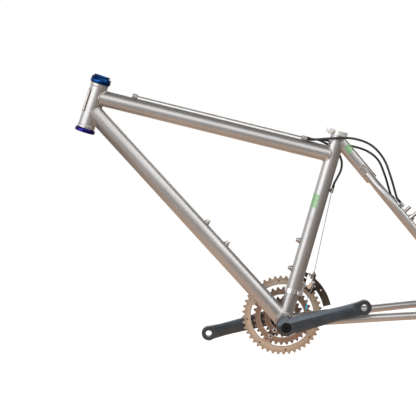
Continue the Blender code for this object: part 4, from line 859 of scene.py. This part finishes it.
# Headset
CUP_LIP = 0.0012
CUP_SHOULDER = 0.0034
CUP_STEPS = 12
CUP_FULLNESS = 0.7
CUP_EDGE = 0.0002
COVER_NECK = ((0.0, 0.0), (0.0007, -0.0014), (0.0009, -0.0030))
COVER_SHOULDER = ((-0.0029, 0.0052), (-0.0013, 0.0041), (-0.0004, 0.0028), (0.0, 0.0012), (-0.0008, 0.0))


def bulge(radius, high, high_cut, low, low_cut):
    """The points of a full, round outer edge, drawn in by its two cuts at the high and the low end."""
    points = []
    for step in range(CUP_STEPS + 1):
        turn = math.pi * (0.5 - step / CUP_STEPS)
        cut = high_cut if turn > 0.0 else low_cut
        height = (high + low) / 2 + (high - low) / 2 * math.sin(turn)
        points.append((radius - cut * (1.0 - max(math.cos(turn), 0.0) ** CUP_FULLNESS), height))
    return points


def make_headset():
    place = along(HEAD_FOOT, HEAD_UP)
    sleeve = HEAD_BORE - GAP
    inside = sleeve - CUP_WALL
    seat = CUP_RADIUS - CUP_RIM
    outline = (
        *bulge(CUP_RADIUS, CUP_HEIGHT, CUP_LIP, 0.0, CUP_SHOULDER),
        (sleeve, 0.0), (sleeve, -CUP_SLEEVE), (inside, -CUP_SLEEVE),
        (inside, CUP_FLOOR), (seat, CUP_FLOOR), (seat, CUP_HEIGHT))
    top = HEAD_LENGTH + GAP
    for word, foot, way, finish in (("upper", top, 1, BLUE_UPPER), ("lower", -GAP, -1, BLUE_LOWER)):
        name = word + "_cup_skin"
        mesh = to_mesh(turned([(radius, foot + way * height) for radius, height in outline], place), name)
        soften(piece(name, mesh, finish, "frame", "blue_anodised", word + "_headset_cup"), CUP_EDGE)
    base = top + CUP_HEIGHT + GAP
    peak = base + COVER_HEIGHT
    profile = (
        *[(COVER_TOP_RADIUS + out, peak + up) for out, up in COVER_NECK],
        *[(CUP_RADIUS + out, base + up) for out, up in COVER_SHOULDER],
        (STEERER_RADIUS, base), (STEERER_RADIUS, peak))
    name = "top_cover_skin"
    cover = piece(name, to_mesh(turned(profile, place), name), BLUE_UPPER, "headset_cover", "blue_anodised",
                  "headset_top_cover")
    soften(cover, CUP_EDGE)


# Cables
FERRULE = (
    (0.0, 0.0), (0.0027, 0.0), (0.0030, 0.0004), (0.0030, 0.0066), (0.0028, 0.0074),
    (0.0025, 0.0074), (0.0, 0.0074))
END_CAP = (
    (0.0, -0.001), (0.0013, -0.001), (0.0017, 0.0), (0.0017, 0.0035), (0.0014, 0.0040), (0.0014, 0.0050),
    (0.0017, 0.0055), (0.0017, 0.0110), (0.0012, 0.0122), (0.0, 0.0124))
WIRE_TAIL = (
    (0.0351, -0.0035, 0.1030), (0.0394, -0.0042, 0.0965), (0.0384, -0.0052, 0.0830),
    (0.0349, -0.0066, 0.0668), (0.0374, -0.0080, 0.0505))
CORD_STEPS = 8
WIRE_STEPS = 24
WIRE_ROUND = 4
HOUSING_ROUND = 7


def barrel_centre(tube_radius, angle):
    reach = tube_radius + STOP_RADIUS + STOP_STAND_OFF
    return Vector((0.0, math.sin(angle) * reach, math.cos(angle) * reach))


FRONT_STOP_FRAME = frame_at(TOP_START + TOP_BACK * FRONT_STOP, TOP_BACK)
REAR_STOP_FRAME = frame_at(TOP_END - TOP_BACK * REAR_STOP_LEAD, TOP_BACK)
SEAT_STOP_FRAME = frame_at(SEAT_UP * (SEAT_LENGTH - SEAT_STOP_DROP), SEAT_UP * -1.0)


def barrel_end(place, tube_radius, angle, way):
    """A point one gap off the end of a barrel, at its front (way -1) or its back (way 1)."""
    return place @ (barrel_centre(tube_radius, angle) + Vector((way * (STOP_LENGTH / 2 + GAP), 0.0, 0.0)))


def lead_out(point, place, way):
    step = place.to_3x3() @ Vector((way * HOUSING_LEAD, 0.0, 0.0))
    return [point, point + step, point + step * 2]


def make_cables():
    """The housings with a metal cap at each end, and the bare wires along the top tube."""
    runs = []
    rear_routes = (("brake", -1, BRAKE_HOUSING_ROUTE), ("rear_shift", 1, REAR_SHIFT_HOUSING_ROUTE))
    for word, side, route in rear_routes:
        stay = seatstay_frame(side, STUD_DROP - STAY_STOP_LEAD)
        runs.append((word, side * STOP_FAN, route, stay, SEATSTAY_RADIUS))
    runs.append(("front_shift", 0.0, MECH_HOUSING_ROUTE, SEAT_STOP_FRAME, SEAT_RADIUS))
    caps = []
    for word, angle, route, stop, radius in runs:
        points = lead_out(barrel_end(REAR_STOP_FRAME, TOP_RADIUS, angle, 1), REAR_STOP_FRAME, 1)
        points += [TOP_END + Vector(knot) for knot in route]
        points += lead_out(barrel_end(stop, radius, 0.0, -1), stop, -1)[::-1]
        node = word + "_housing"
        name = node + "_jacket"
        mesh = cord(name, smooth_path(points, CORD_STEPS), HOUSING_RADIUS, HOUSING_ROUND)
        piece(name, mesh, JACKET, "frame", "black_plastic", node)
        caps.append(fixing(FERRULE, points[0], points[1] - points[0]))
        caps.append(fixing(FERRULE, points[-1], points[-2] - points[-1]))
    gather("housing_ferrules", caps, BLACK_STEEL, "frame", "black_steel")
    for word, angle in (("brake", -STOP_FAN), ("front_shift", 0.0), ("rear_shift", STOP_FAN)):
        ends = [barrel_end(FRONT_STOP_FRAME, TOP_RADIUS, angle, 1),
                barrel_end(REAR_STOP_FRAME, TOP_RADIUS, angle, -1)]
        name = word + "_wire_line"
        piece(name, cord(name, ends, WIRE_RADIUS, WIRE_ROUND), WIRE, "frame", "steel", word + "_wire")


def make_derailleur_wire():
    """The wire from the seat tube's stop to the outer link, and its tail with a crimped cap."""
    top = barrel_end(SEAT_STOP_FRAME, SEAT_RADIUS, 0.0, 1)
    anchor = SEAT_FRAME @ CABLE_ANCHOR
    path = [top.lerp(anchor, index / WIRE_STEPS) for index in range(WIRE_STEPS + 1)]
    line = placed("derailleur_wire_line", cord("derailleur_wire_line", path, WIRE_RADIUS, WIRE_ROUND))
    line.data.materials.append(WIRE)
    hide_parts("derailleur_wire")
    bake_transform(line)
    path = smooth_path([SEAT_FRAME @ Vector(spot) for spot in WIRE_TAIL], CORD_STEPS)
    mesh = cord("derailleur_wire_tail", path, WIRE_RADIUS, WIRE_ROUND)
    piece("derailleur_wire_tail", mesh, WIRE, "mech_outer_link", "steel")
    cap = to_mesh(fixing(END_CAP, path[-1], path[-1] - path[-2]), "wire_end_cap")
    piece("wire_end_cap", cap, CAP_BLUE, "mech_outer_link", "black_plastic")


# Crankset
CRANK_STEPS = 10
CRANK_CORNER = math.radians(60.0)
CRANK_CHAMFER = 0.0020
CRANK_EDGE = 0.0007
# Each spider arm is a hair thinner than the one before, so that no two faces lie in one plane
SPIDER_INSET = 0.00005
LARGE_RING_THICKNESS = 0.0025
RING_THICKNESS = 0.0020
RING_BOLT_LIFT = 0.0002
RING_BOLT = (
    (0.0, 0.0004), (0.0026, 0.0004), (0.0026, 0.0012), (0.0044, 0.0012), (0.0050, 0.0006),
    (0.0050, 0.0), (0.0, 0.0))
# A thin black disc on the floor of each bolt's and nut's hollow: painted shade, not a part of its own
RING_SOCKET_SHADE = ((0.0, 0.0003), (0.0027, 0.0003), (0.0027, 0.0006), (0.0, 0.0005))
SHIFT_PIN = ((0.0, 0.0014), (0.0014, 0.0014), (0.0018, 0.0010), (0.0018, 0.0), (0.0, 0.0))
SHIFT_PINS = 8
SHIFT_PIN_TURN = 0.2
SHIFT_PIN_PLACE = Vector((0.0800, SPIDER_OUTER + GAP - 0.0001, 0.0))
RIDGE_FOOT = -0.0002
RIDGE_SIDE = 0.0001
RIDGE_TOP = 0.0005


def crank_frame(side):
    x = Vector((math.cos(CRANK_ANGLE), 0.0, math.sin(CRANK_ANGLE))) * -side
    y = RIGHT * side
    return columns(ORIGIN, x, y, x.cross(y))


def arm_beam(place):
    """The waisted bar of a crank arm, leaning outwards to the eye, with a narrow facet round its faces."""
    edge = smooth_path([Vector((x, half, 0.0)) for x, half in CRANK_HALF_WIDTHS], CRANK_STEPS)
    bm = bmesh.new()
    rim = [bm.verts.new((point.x, 0.0, point.y)) for point in edge]
    rim += [bm.verts.new((point.x, 0.0, -point.y)) for point in edge[::-1]]
    face = bm.faces.new(rim)
    grown = bmesh.ops.extrude_face_region(bm, geom=[face])
    far = [item for item in grown["geom"] if isinstance(item, bmesh.types.BMVert)]
    bmesh.ops.translate(bm, vec=(0.0, CRANK_THICKNESS, 0.0), verts=far)
    bmesh.ops.recalc_face_normals(bm, faces=bm.faces)
    sides = [edge for edge in bm.edges if edge.calc_face_angle(0.0) > CRANK_CORNER]
    bmesh.ops.bevel(
        bm, geom=sides, offset=CRANK_CHAMFER, offset_type="OFFSET", affect="EDGES", segments=2, profile=0.5,
        material=-1)
    lean = (CRANK_TIP_INNER - CRANK_ROOT_INNER) / CRANK_LENGTH
    shear = Matrix(((1, 0, 0, 0), (lean, 1, 0, CRANK_ROOT_INNER), (0, 0, 1, 0), (0, 0, 0, 1)))
    bmesh.ops.transform(bm, matrix=place @ shear, verts=bm.verts)
    return bm


def arm_facet(place):
    """A block that planes the long facet along the arm's upper outer edge."""
    face = CRANK_ROOT_INNER + CRANK_THICKNESS
    start = Vector((0.0, face, -FACET_ROOT))
    end = Vector((FACET_REACH, face + CRANK_TIP_INNER - CRANK_ROOT_INNER, -FACET_TIP))
    x = (end - start).normalized()
    slope = Vector((0.0, -math.cos(FACET_TILT), -math.sin(FACET_TILT)))
    out = x.cross(slope).normalized()
    low = Vector((-CRANK_LENGTH, -FACET_ROOM, 0.0))
    high = Vector((FACET_REACH, FACET_DEPTH, FACET_ROOM))
    return block(low, high, place @ columns(start, x, out.cross(x), out))


def arm_turn(index):
    return Matrix.Rotation(-math.tau * (index + 0.5) / SPIDER_ARMS, 4, "Y")


def make_crank_arms():
    for word, side in SIDES:
        place = crank_frame(side)
        tip = Vector((CRANK_LENGTH, 0.0, 0.0))
        out = Vector((0.0, 1.0, 0.0))

        def rod(radius, centre, inner, outer, sides=FINE):
            return bar(radius, place @ (centre + out * inner), place @ (centre + out * outer), sides)

        face = CRANK_ROOT_INNER + CRANK_THICKNESS - GAP
        boss = (
            (0.0, CRANK_BOSS_INNER), (CRANK_BOSS_RADIUS, CRANK_BOSS_INNER),
            (CRANK_BOSS_RADIUS, face - BOSS_RIM[1]), (CRANK_BOSS_RADIUS - BOSS_RIM[0], face), (0.0, face))
        joined = [
            turned(boss, along(ORIGIN, RIGHT * side), closed=False),
            rod(CRANK_EYE_RADIUS, tip, CRANK_TIP_INNER - CRANK_EYE_RISE,
                CRANK_TIP_INNER + CRANK_THICKNESS + CRANK_EYE_RISE)]
        if side > 0:
            for index in range(SPIDER_ARMS):
                turn = place @ arm_turn(index)
                inset = SPIDER_INSET * index
                joined.append(block(
                    Vector((0.0, SPIDER_INNER + inset, -SPIDER_HALF_WIDTH)),
                    Vector((SPIDER_REACH, SPIDER_OUTER - inset, SPIDER_HALF_WIDTH)), turn))
                foot = turn @ Vector((POST_CIRCLE, SMALL_RING_FACE + GAP, 0.0))
                head = turn @ Vector((POST_CIRCLE, SPIDER_INNER + BIT, 0.0))
                joined.append(bar(POST_RADIUS, foot, head, SMALL))
        cut = (
            arm_facet(place),
            rod(SPINDLE_HOLE, ORIGIN, 0.0, 2 * CRANK_BOSS_OUTER, ROUND),
            rod(BOLT_SEAT[0], ORIGIN, BOLT_SEAT[1], 2 * CRANK_BOSS_OUTER, ROUND),
            rod(PEDAL_HOLE, tip, 0.0, 2 * CRANK_BOSS_OUTER, ROUND))
        name = word + "_crank_arm_skin"
        mesh = carved(name, arm_beam(place), joined, cut)
        soften(piece(name, mesh, CRANK_GREY, "crankset", "crank_grey", word + "_crank_arm"), CRANK_EDGE)


def make_ring_bolts():
    """The bolts and slotted nuts that hold the rings on the spider, black discs of painted shade in their
    hollows, and the pins of the large ring.
    """
    spots = (
        (RING_BOLT_CIRCLE, SPIDER_OUTER + GAP + LARGE_RING_THICKNESS + RING_BOLT_LIFT, 1),
        (RING_BOLT_CIRCLE, SPIDER_INNER - GAP - RING_THICKNESS - RING_BOLT_LIFT, -1),
        (POST_CIRCLE, SMALL_RING_FACE - RING_THICKNESS - RING_BOLT_LIFT, -1))
    bolts = []
    socket_shades = []
    for index in range(SPIDER_ARMS):
        turn = crank_frame(1) @ arm_turn(index)
        for circle, face, way in spots:
            centre = turn @ Vector((circle, face, 0.0))
            bolts.append(fixing(RING_BOLT, centre, RIGHT * way))
            socket_shades.append(fixing(RING_SOCKET_SHADE, centre, RIGHT * way))
    gather("ring_bolts", bolts, SILVER, "crankset", "silver")
    # The black discs are painted shade in the hollows of the bolts and nuts
    gather("ring_bolt_socket_shades", socket_shades, BLACK_STEEL, "crankset", "black_steel")
    pins = []
    for index in range(SHIFT_PINS):
        turn = Matrix.Rotation(math.tau * (index + SHIFT_PIN_TURN) / SHIFT_PINS, 4, "Y")
        pins.append(fixing(SHIFT_PIN, crank_frame(1) @ turn @ SHIFT_PIN_PLACE, -RIGHT))
    gather("shift_pins", pins, CAGE_STEEL, "crankset", "steel")


def make_ring_ridges():
    """The low turned ridges along the inner rim and the tooth roots of each ring."""
    ridges = []
    for face, way, radii in RING_RIDGES:
        place = along(RIGHT * face, RIGHT * way)
        for inner, outer in radii:
            slope = (outer - inner) / 4
            profile = (
                (inner, RIDGE_FOOT), (inner, RIDGE_SIDE), (inner + slope, RIDGE_TOP),
                (outer - slope, RIDGE_TOP), (outer, RIDGE_SIDE), (outer, RIDGE_FOOT))
            ridges.append(turned(profile, place, FINE * 2))
    gather("ring_ridges", ridges, RING_RIDGE, "crankset", "ring_metal")


# Small pieces
CAGE_EDGE = 0.0003
SECTOR_STEPS = 16
CAGE_RIVET = ((0.0, 0.0008), (0.0014, 0.0007), (0.0022, 0.0002), (0.0022, -0.0003), (0.0, -0.0003))
PIVOT_HEAD = ((0.0, 0.0007), (0.0012, 0.0006), (0.0019, 0.0002), (0.0019, 0.0), (0.0, 0.0))
PIVOT_HEADS = (
    OUTER_PIVOT + Vector((CAGE_PLATE_BACK - 0.0044, 0.0, 0.0)),
    INNER_PIVOT + Vector((CLAMP_PLATE_BACK + 0.0074, 0.0, 0.0)))
LUG_LOW = Vector((0.0125, -0.0178, 0.0662))
LUG_HIGH = Vector((0.0215, -0.0090, 0.0738))
LUG_EDGE = 0.0008
LUG_ROOM = 0.1
LUG_BOLT_PLACE = Vector((0.0170, -0.0178, 0.0700))
LUG_BOLT = (
    (0.0, 0.0012), (0.0016, 0.0012), (0.0016, 0.0030), (0.0030, 0.0030), (0.0034, 0.0025),
    (0.0034, 0.0), (0.0, 0.0))
PINCH_BOLT_PLACE = CABLE_ANCHOR + Vector((0.0030, 0.0, -0.0033))
PINCH_BOLT = (
    (0.0, 0.0010), (0.0014, 0.0010), (0.0014, 0.0026), (0.0026, 0.0026), (0.0030, 0.0021), (0.0030, 0.0008),
    (0.0037, 0.0008), (0.0037, 0.0), (0.0, 0.0))
STRIP_STEPS = 12
# Green bars: count, start of the first, pitch, height, spread and the ways they face in turn
BAR_LIFT = 0.00008
BAR_THICKNESS = 0.00006
SEAT_BARS = (8, 0.262, 0.0037, 0.0024, math.radians(78.0), (
    SEAT_BACK * -0.80 - RIGHT * 0.6, SEAT_BACK * -0.64 - RIGHT * 0.6))
WISHBONE_BARS = (4, 0.0240, 0.0045, 0.0028, math.radians(74.0), (
    STAY_DOWN.cross(RIGHT) * 0.50 - RIGHT, STAY_DOWN.cross(RIGHT) * 0.40 - RIGHT))
# Layers of the badge: name, finish, slot, lift off the tube, low and high end, spread and thickness
BADGE_LAYERS = (
    ("badge_plate", BRONZE, "steel", 0.0008, 0.034, 0.084, math.radians(96.0), 0.0007),
    ("badge_face", SILVER, "silver", 0.0014, 0.0355, 0.0825, math.radians(84.0), 0.0006))
BADGE_EDGE = 0.0002
BADGE_RIVET_LIFT = 0.0014
BADGE_RIVET_HEIGHTS = (0.038, 0.080)
BADGE_RIVET = ((0.0, 0.0009), (0.0010, 0.0007), (0.0016, 0.0002), (0.0016, -0.0004), (0.0, -0.0004))


def make_cage():
    """The cage with its inner plate cut back at the tail and an open window behind the links."""
    bm = bmesh.new()
    bm.from_mesh(NODES["derailleur_cage"].data)
    bmesh.ops.remove_doubles(bm, verts=bm.verts, dist=WELD / 2)
    mesh = carved("derailleur_cage_skin", bm, cut=[sector(*cut) for cut in CAGE_CUTS])
    cage = piece("derailleur_cage_skin", mesh, CAGE_STEEL, CAGE_BODY, "steel", "derailleur_cage")
    soften(cage, CAGE_EDGE, 2)
    rivets = []
    for radius, angle in CAGE_RIVETS:
        centre = Vector((math.cos(angle) * radius, CAGE_FACE, math.sin(angle) * radius))
        rivets.append(fixing(CAGE_RIVET, centre, -RIGHT))
    gather("cage_rivets", rivets, STEEL, CAGE_BODY, "steel")


def sector(inner, outer, start, end):
    """A block bent round the crank's axis, between two radii and two angles, right through the cage."""
    bm = bmesh.new()
    near = CAGE_FACE - BIT
    far = CAGE_FACE + CAGE_WIDTH
    spots = ((inner, near), (outer, near), (outer, far), (inner, far))
    corners = [bm.verts.new((radius, depth, 0.0)) for radius, depth in spots]
    bmesh.ops.rotate(bm, verts=corners, cent=(0, 0, 0), matrix=Matrix.Rotation(-start, 3, "Y"))
    face = bm.faces.new(corners)
    bmesh.ops.spin(
        bm, geom=[*corners, *face.edges, face], cent=(0, 0, 0), axis=(0, 1, 0), dvec=(0, 0, 0),
        angle=start - end, steps=SECTOR_STEPS, use_merge=False, use_duplicate=False)
    bmesh.ops.holes_fill(bm, edges=bm.edges, sides=4)
    bmesh.ops.recalc_face_normals(bm, faces=bm.faces)
    return bm


def make_derailleur_details():
    """Pivot heads, the clamp's lug and bolt and the wire's pinch bolt."""
    heads = [fixing(PIVOT_HEAD, SEAT_FRAME @ place, SEAT_BACK) for place in PIVOT_HEADS]
    room = bar(SEAT_RADIUS + GAP, ORIGIN, SEAT_UP * LUG_ROOM)
    lug = carved("clamp_lug", block(LUG_LOW, LUG_HIGH, SEAT_FRAME), cut=(room,))
    soften(piece("clamp_lug", lug, SILVER, "frame", "silver"), LUG_EDGE)
    heads.append(fixing(LUG_BOLT, SEAT_FRAME @ LUG_BOLT_PLACE, -RIGHT))
    gather("derailleur_fixings", heads, STEEL, "frame", "steel")
    bolt = to_mesh(fixing(PINCH_BOLT, SEAT_FRAME @ PINCH_BOLT_PLACE, SEAT_BACK), "pinch_bolt")
    piece("pinch_bolt", bolt, STEEL, "mech_outer_link", "steel")


def wrapped_strip(origin, axis, facing, radius, low, high, spread, thickness):
    """A thin strip bent round a tube, between two heights and across a spread of angles."""
    z = axis.normalized()
    x = (facing - z * facing.dot(z)).normalized()
    place = columns(origin, x, z.cross(x), z)
    bm = bmesh.new()
    side = [bm.verts.new((radius, 0.0, low)), bm.verts.new((radius, 0.0, high))]
    edge = bm.edges.new(side)
    bmesh.ops.rotate(bm, verts=side, cent=(0, 0, 0), matrix=Matrix.Rotation(-spread / 2, 3, "Z"))
    bmesh.ops.spin(
        bm, geom=side + [edge], cent=(0, 0, 0), axis=(0, 0, 1), dvec=(0, 0, 0), angle=spread,
        steps=STRIP_STEPS, use_merge=False, use_duplicate=False)
    bmesh.ops.recalc_face_normals(bm, faces=bm.faces)
    outward = sum((face.normal.dot(face.calc_center_median()) for face in bm.faces), 0.0)
    if outward < 0:
        bmesh.ops.reverse_faces(bm, faces=bm.faces)
    bmesh.ops.solidify(bm, geom=bm.faces, thickness=-thickness)
    bmesh.ops.recalc_face_normals(bm, faces=bm.faces)
    bmesh.ops.transform(bm, matrix=place, verts=bm.verts)
    return bm


def make_bands():
    """Small green bars on the seat tube and the wishbone tube."""
    bars = []
    tubes = ((ORIGIN, SEAT_UP, SEAT_RADIUS, SEAT_BARS), (STAY_TOP, STAY_DOWN, WISHBONE_RADIUS, WISHBONE_BARS))
    for origin, axis, radius, (count, start, pitch, height, spread, ways) in tubes:
        for index in range(count):
            low = start + pitch * index
            bars.append(wrapped_strip(
                origin, axis, ways[index % 2], radius + BAR_LIFT, low, low + height, spread, BAR_THICKNESS))
    gather("green_bars", bars, GREEN, "frame", "black_plastic")


def make_badge():
    """A plain curved plate on the front of the head tube, with its two rivets."""
    front = Vector((-1.0, 0.0, 0.0))
    for name, finish, slot, lift, low, high, spread, thickness in BADGE_LAYERS:
        plate = wrapped_strip(HEAD_FOOT, HEAD_UP, front, HEAD_RADIUS + lift, low, high, spread, thickness)
        soften(piece(name, to_mesh(plate, name), finish, "frame", slot), BADGE_EDGE, 2)
    out = (front - HEAD_UP * front.dot(HEAD_UP)).normalized()
    face = HEAD_FOOT + out * (HEAD_RADIUS + BADGE_RIVET_LIFT)
    rivets = [fixing(BADGE_RIVET, face + HEAD_UP * height, out) for height in BADGE_RIVET_HEIGHTS]
    gather("badge_rivets", rivets, STEEL, "frame", "steel")


# Solids shown as they are: finish, width of the broken edges and nodes
DRESSED = (
    (STEEL, 0.0002, ("upper_headset_bearing", "lower_headset_bearing")),
    (TITANIUM, 0.0005, ("left_dropout", "right_dropout")),
    (TITANIUM, 0.0003, (
        "front_cable_stop", "rear_cable_stop", "seat_tube_cable_stop", "left_seatstay_cable_stop",
        "right_seatstay_cable_stop", "down_tube_lower_boss", "down_tube_upper_boss", "seat_tube_lower_boss",
        "seat_tube_upper_boss")),
    (STEEL, 0.0003, (
        "left_brake_stud", "right_brake_stud", "down_tube_lower_bolt", "down_tube_upper_bolt",
        "seat_tube_lower_bolt", "seat_tube_upper_bolt", "quick_release_skewer", "left_bottom_bracket_bearing",
        "right_bottom_bracket_bearing", "crank_spindle")),
    (PALE_SILVER, 0.0006, ("seat_collar", "quick_release_nut", "quick_release_lever")),
    (SILVER, 0.0006, ("derailleur_clamp",)),
    (SILVER, 0.0005, ("derailleur_outer_link", "derailleur_inner_link")),
    (BLACK_STEEL, 0.0004, (
        "left_bottom_bracket_cup", "right_bottom_bracket_cup", "left_crank_bolt", "right_crank_bolt")),
    (LARGE_RING, 0.0003, ("large_chainring",)),
    (MIDDLE_RING, 0.0003, ("middle_chainring",)),
    (SMALL_RING, 0.0003, ("small_chainring",)))


# Floor, light and camera
FLOOR_Z = -0.34
CAMERA_PLACE = Vector((-0.17512, -2.5, 0.53505))
CAMERA_TARGET = Vector((-0.16561, 0.0, 0.25353))
CAMERA_ROLL = math.radians(0.716)
CAMERA_LENS = 99.19
CAMERA_SENSOR = 36.0
CAMERA_FAR = 50.0
FLOOR_SIZE = 12.0
FLOOR_CLOTH = (0.30, 0.30, 0.30)
FLOOR_GLOW = 0.89
FLOOR_NEAR = (0.92, 0.65, 0.48)
FLOOR_FAR = (0.42, 0.42, 0.43)
FLOOR_DIM = (0.17, 0.140, 0.115)
FLOOR_SPREAD = (0.75, 1.50)
FLOOR_LEFT = (-1.25, -0.75)
FLOOR_RIGHT = (0.20, 1.00)
ROOM_LEFT = (0.44, 0.44, 0.45)
ROOM_RIGHT = (0.18, 0.165, 0.15)
ROOM_FADE = (-0.62, 0.36)
BACKDROP_TURN = 1.3
BACKDROP_EDGE = (0.25, 0.60)
BACKDROP_TOP = (0.25, 0.70)
WINDOW_WAY = (0.83, -0.36, 0.425)
WINDOW_EDGE = (0.885, 0.97)
WINDOW_TONE = (2.8, 2.8, 2.75)
LAMP_TARGET = Vector((-0.08, 0.0, 0.25))
UP = Vector((0.0, 0.0, 1.0))
LAMPS = (
    ("front_lamp", Vector((-0.25, -2.45, 1.75)), (3.9, 1.9), 44.0, WHITE),
    ("left_lamp", Vector((-2.10, -1.60, 0.90)), (2.6, 2.0), 33.0, WHITE),
    ("back_lamp", Vector((0.50, 2.30, 1.50)), (2.0, 1.0), 14.0, (1.0, 0.98, 0.95)))


def make_camera():
    data = bpy.data.cameras.new("photo_camera")
    data.lens = CAMERA_LENS
    data.sensor_width = CAMERA_SENSOR
    data.clip_end = CAMERA_FAR
    camera = placed("photo_camera", data)
    ahead = (CAMERA_TARGET - CAMERA_PLACE).normalized()
    right = ahead.cross(UP).normalized()
    roll = Matrix.Rotation(CAMERA_ROLL, 3, ahead)
    camera.matrix_world = columns(CAMERA_PLACE, roll @ right, roll @ right.cross(ahead), -ahead)
    bpy.context.scene.camera = camera


def make_floor():
    """A pale floor: white to the camera under a soft shadow, and a warm glow for the metal above it."""
    bm = bmesh.new()
    place = Matrix.Translation((0.0, 0.0, FLOOR_Z))
    bmesh.ops.create_grid(bm, x_segments=1, y_segments=1, size=FLOOR_SIZE, matrix=place)
    floor = solid(bm, "pale_floor")
    f = new_finish("pale_floor")
    seen = f.node("ShaderNodeLightPath", output="Is Camera Ray")
    cloth = f.node("ShaderNodeBsdfDiffuse", None, {"Color": FLOOR_CLOTH})
    glow = f.node("ShaderNodeEmission", None, {"Color": WHITE, "Strength": FLOOR_GLOW})
    pale = f.node("ShaderNodeAddShader", None, {0: cloth, 1: glow})
    x, y, _ = f.axes()
    near = f.blend(f.step(y * -1.0, *FLOOR_SPREAD), FLOOR_NEAR, FLOOR_FAR)
    dim = f.step(x, *FLOOR_RIGHT) + 1.0 - f.step(x, *FLOOR_LEFT)
    warm = f.node("ShaderNodeEmission", None, {"Color": f.blend(dim, near, FLOOR_DIM), "Strength": 1.0})
    both = f.node("ShaderNodeMixShader", None, {"Fac": seen, 1: warm, 2: pale})
    f.feed(f.tree.nodes["Material Output"].inputs["Surface"], both)
    f.holder.cycles.emission_sampling = "NONE"
    floor.data.materials.append(f.holder)


def make_world():
    """White behind the object, round it a grey room, paler on the left, and a soft window on the right."""
    world = bpy.data.worlds.new("studio")
    f = Finish(world, "Generated")
    world.cycles.sampling_method = "NONE"
    bpy.context.scene.world = world
    seen = f.node("ShaderNodeLightPath", output="Is Camera Ray")
    rays = seen.socket.node.outputs
    glossy = Value(f, rays["Is Glossy Ray"])
    through = Value(f, rays["Is Transmission Ray"])
    x, y, z = f.axes()
    room = f.blend(f.step(x, *ROOM_FADE), ROOM_LEFT, ROOM_RIGHT)
    backdrop = f.step(y - x * BACKDROP_TURN, *BACKDROP_EDGE) * (1.0 - f.step(z, *BACKDROP_TOP))
    white = f.node("ShaderNodeMath", {"operation": "MINIMUM"}, {
        0: seen + through + glossy * backdrop, 1: 1.0})
    facing = f.node("ShaderNodeVectorMath", {"operation": "DOT_PRODUCT"}, {
        0: f.where, 1: WINDOW_WAY}, output="Value")
    lit = f.blend(f.step(facing, *WINDOW_EDGE), room, WINDOW_TONE)
    background = f.tree.nodes["Background"].inputs
    f.feed(background["Color"], f.blend(white, lit, WHITE))
    f.feed(background["Strength"], 1.0)


def add_lamp(name, place, size, power, colour):
    """A soft rectangular lamp, wide and tall as given, upright and turned to the object."""
    data = bpy.data.lights.new(name, "AREA")
    data.shape = "RECTANGLE"
    data.size, data.size_y = size
    data.energy = power
    data.color = colour
    lamp = placed(name, data)
    back = (place - LAMP_TARGET).normalized()
    across = UP.cross(back).normalized()
    lamp.matrix_world = columns(place, across, back.cross(across), back)
    lamp.visible_camera = False


bpy.context.scene.view_settings.view_transform = "Standard"
make_camera()
make_main_tubes()
make_stays()
make_welds()
make_headset()
make_cables()
make_derailleur_wire()
make_crank_arms()
make_ring_bolts()
make_ring_ridges()
make_cage()
make_derailleur_details()
make_bands()
make_badge()
for dressing, edge_width, dressed_nodes in DRESSED:
    dress(dressing, edge_width, *dressed_nodes)
make_floor()
make_world()
for lamp_row in LAMPS:
    add_lamp(*lamp_row)
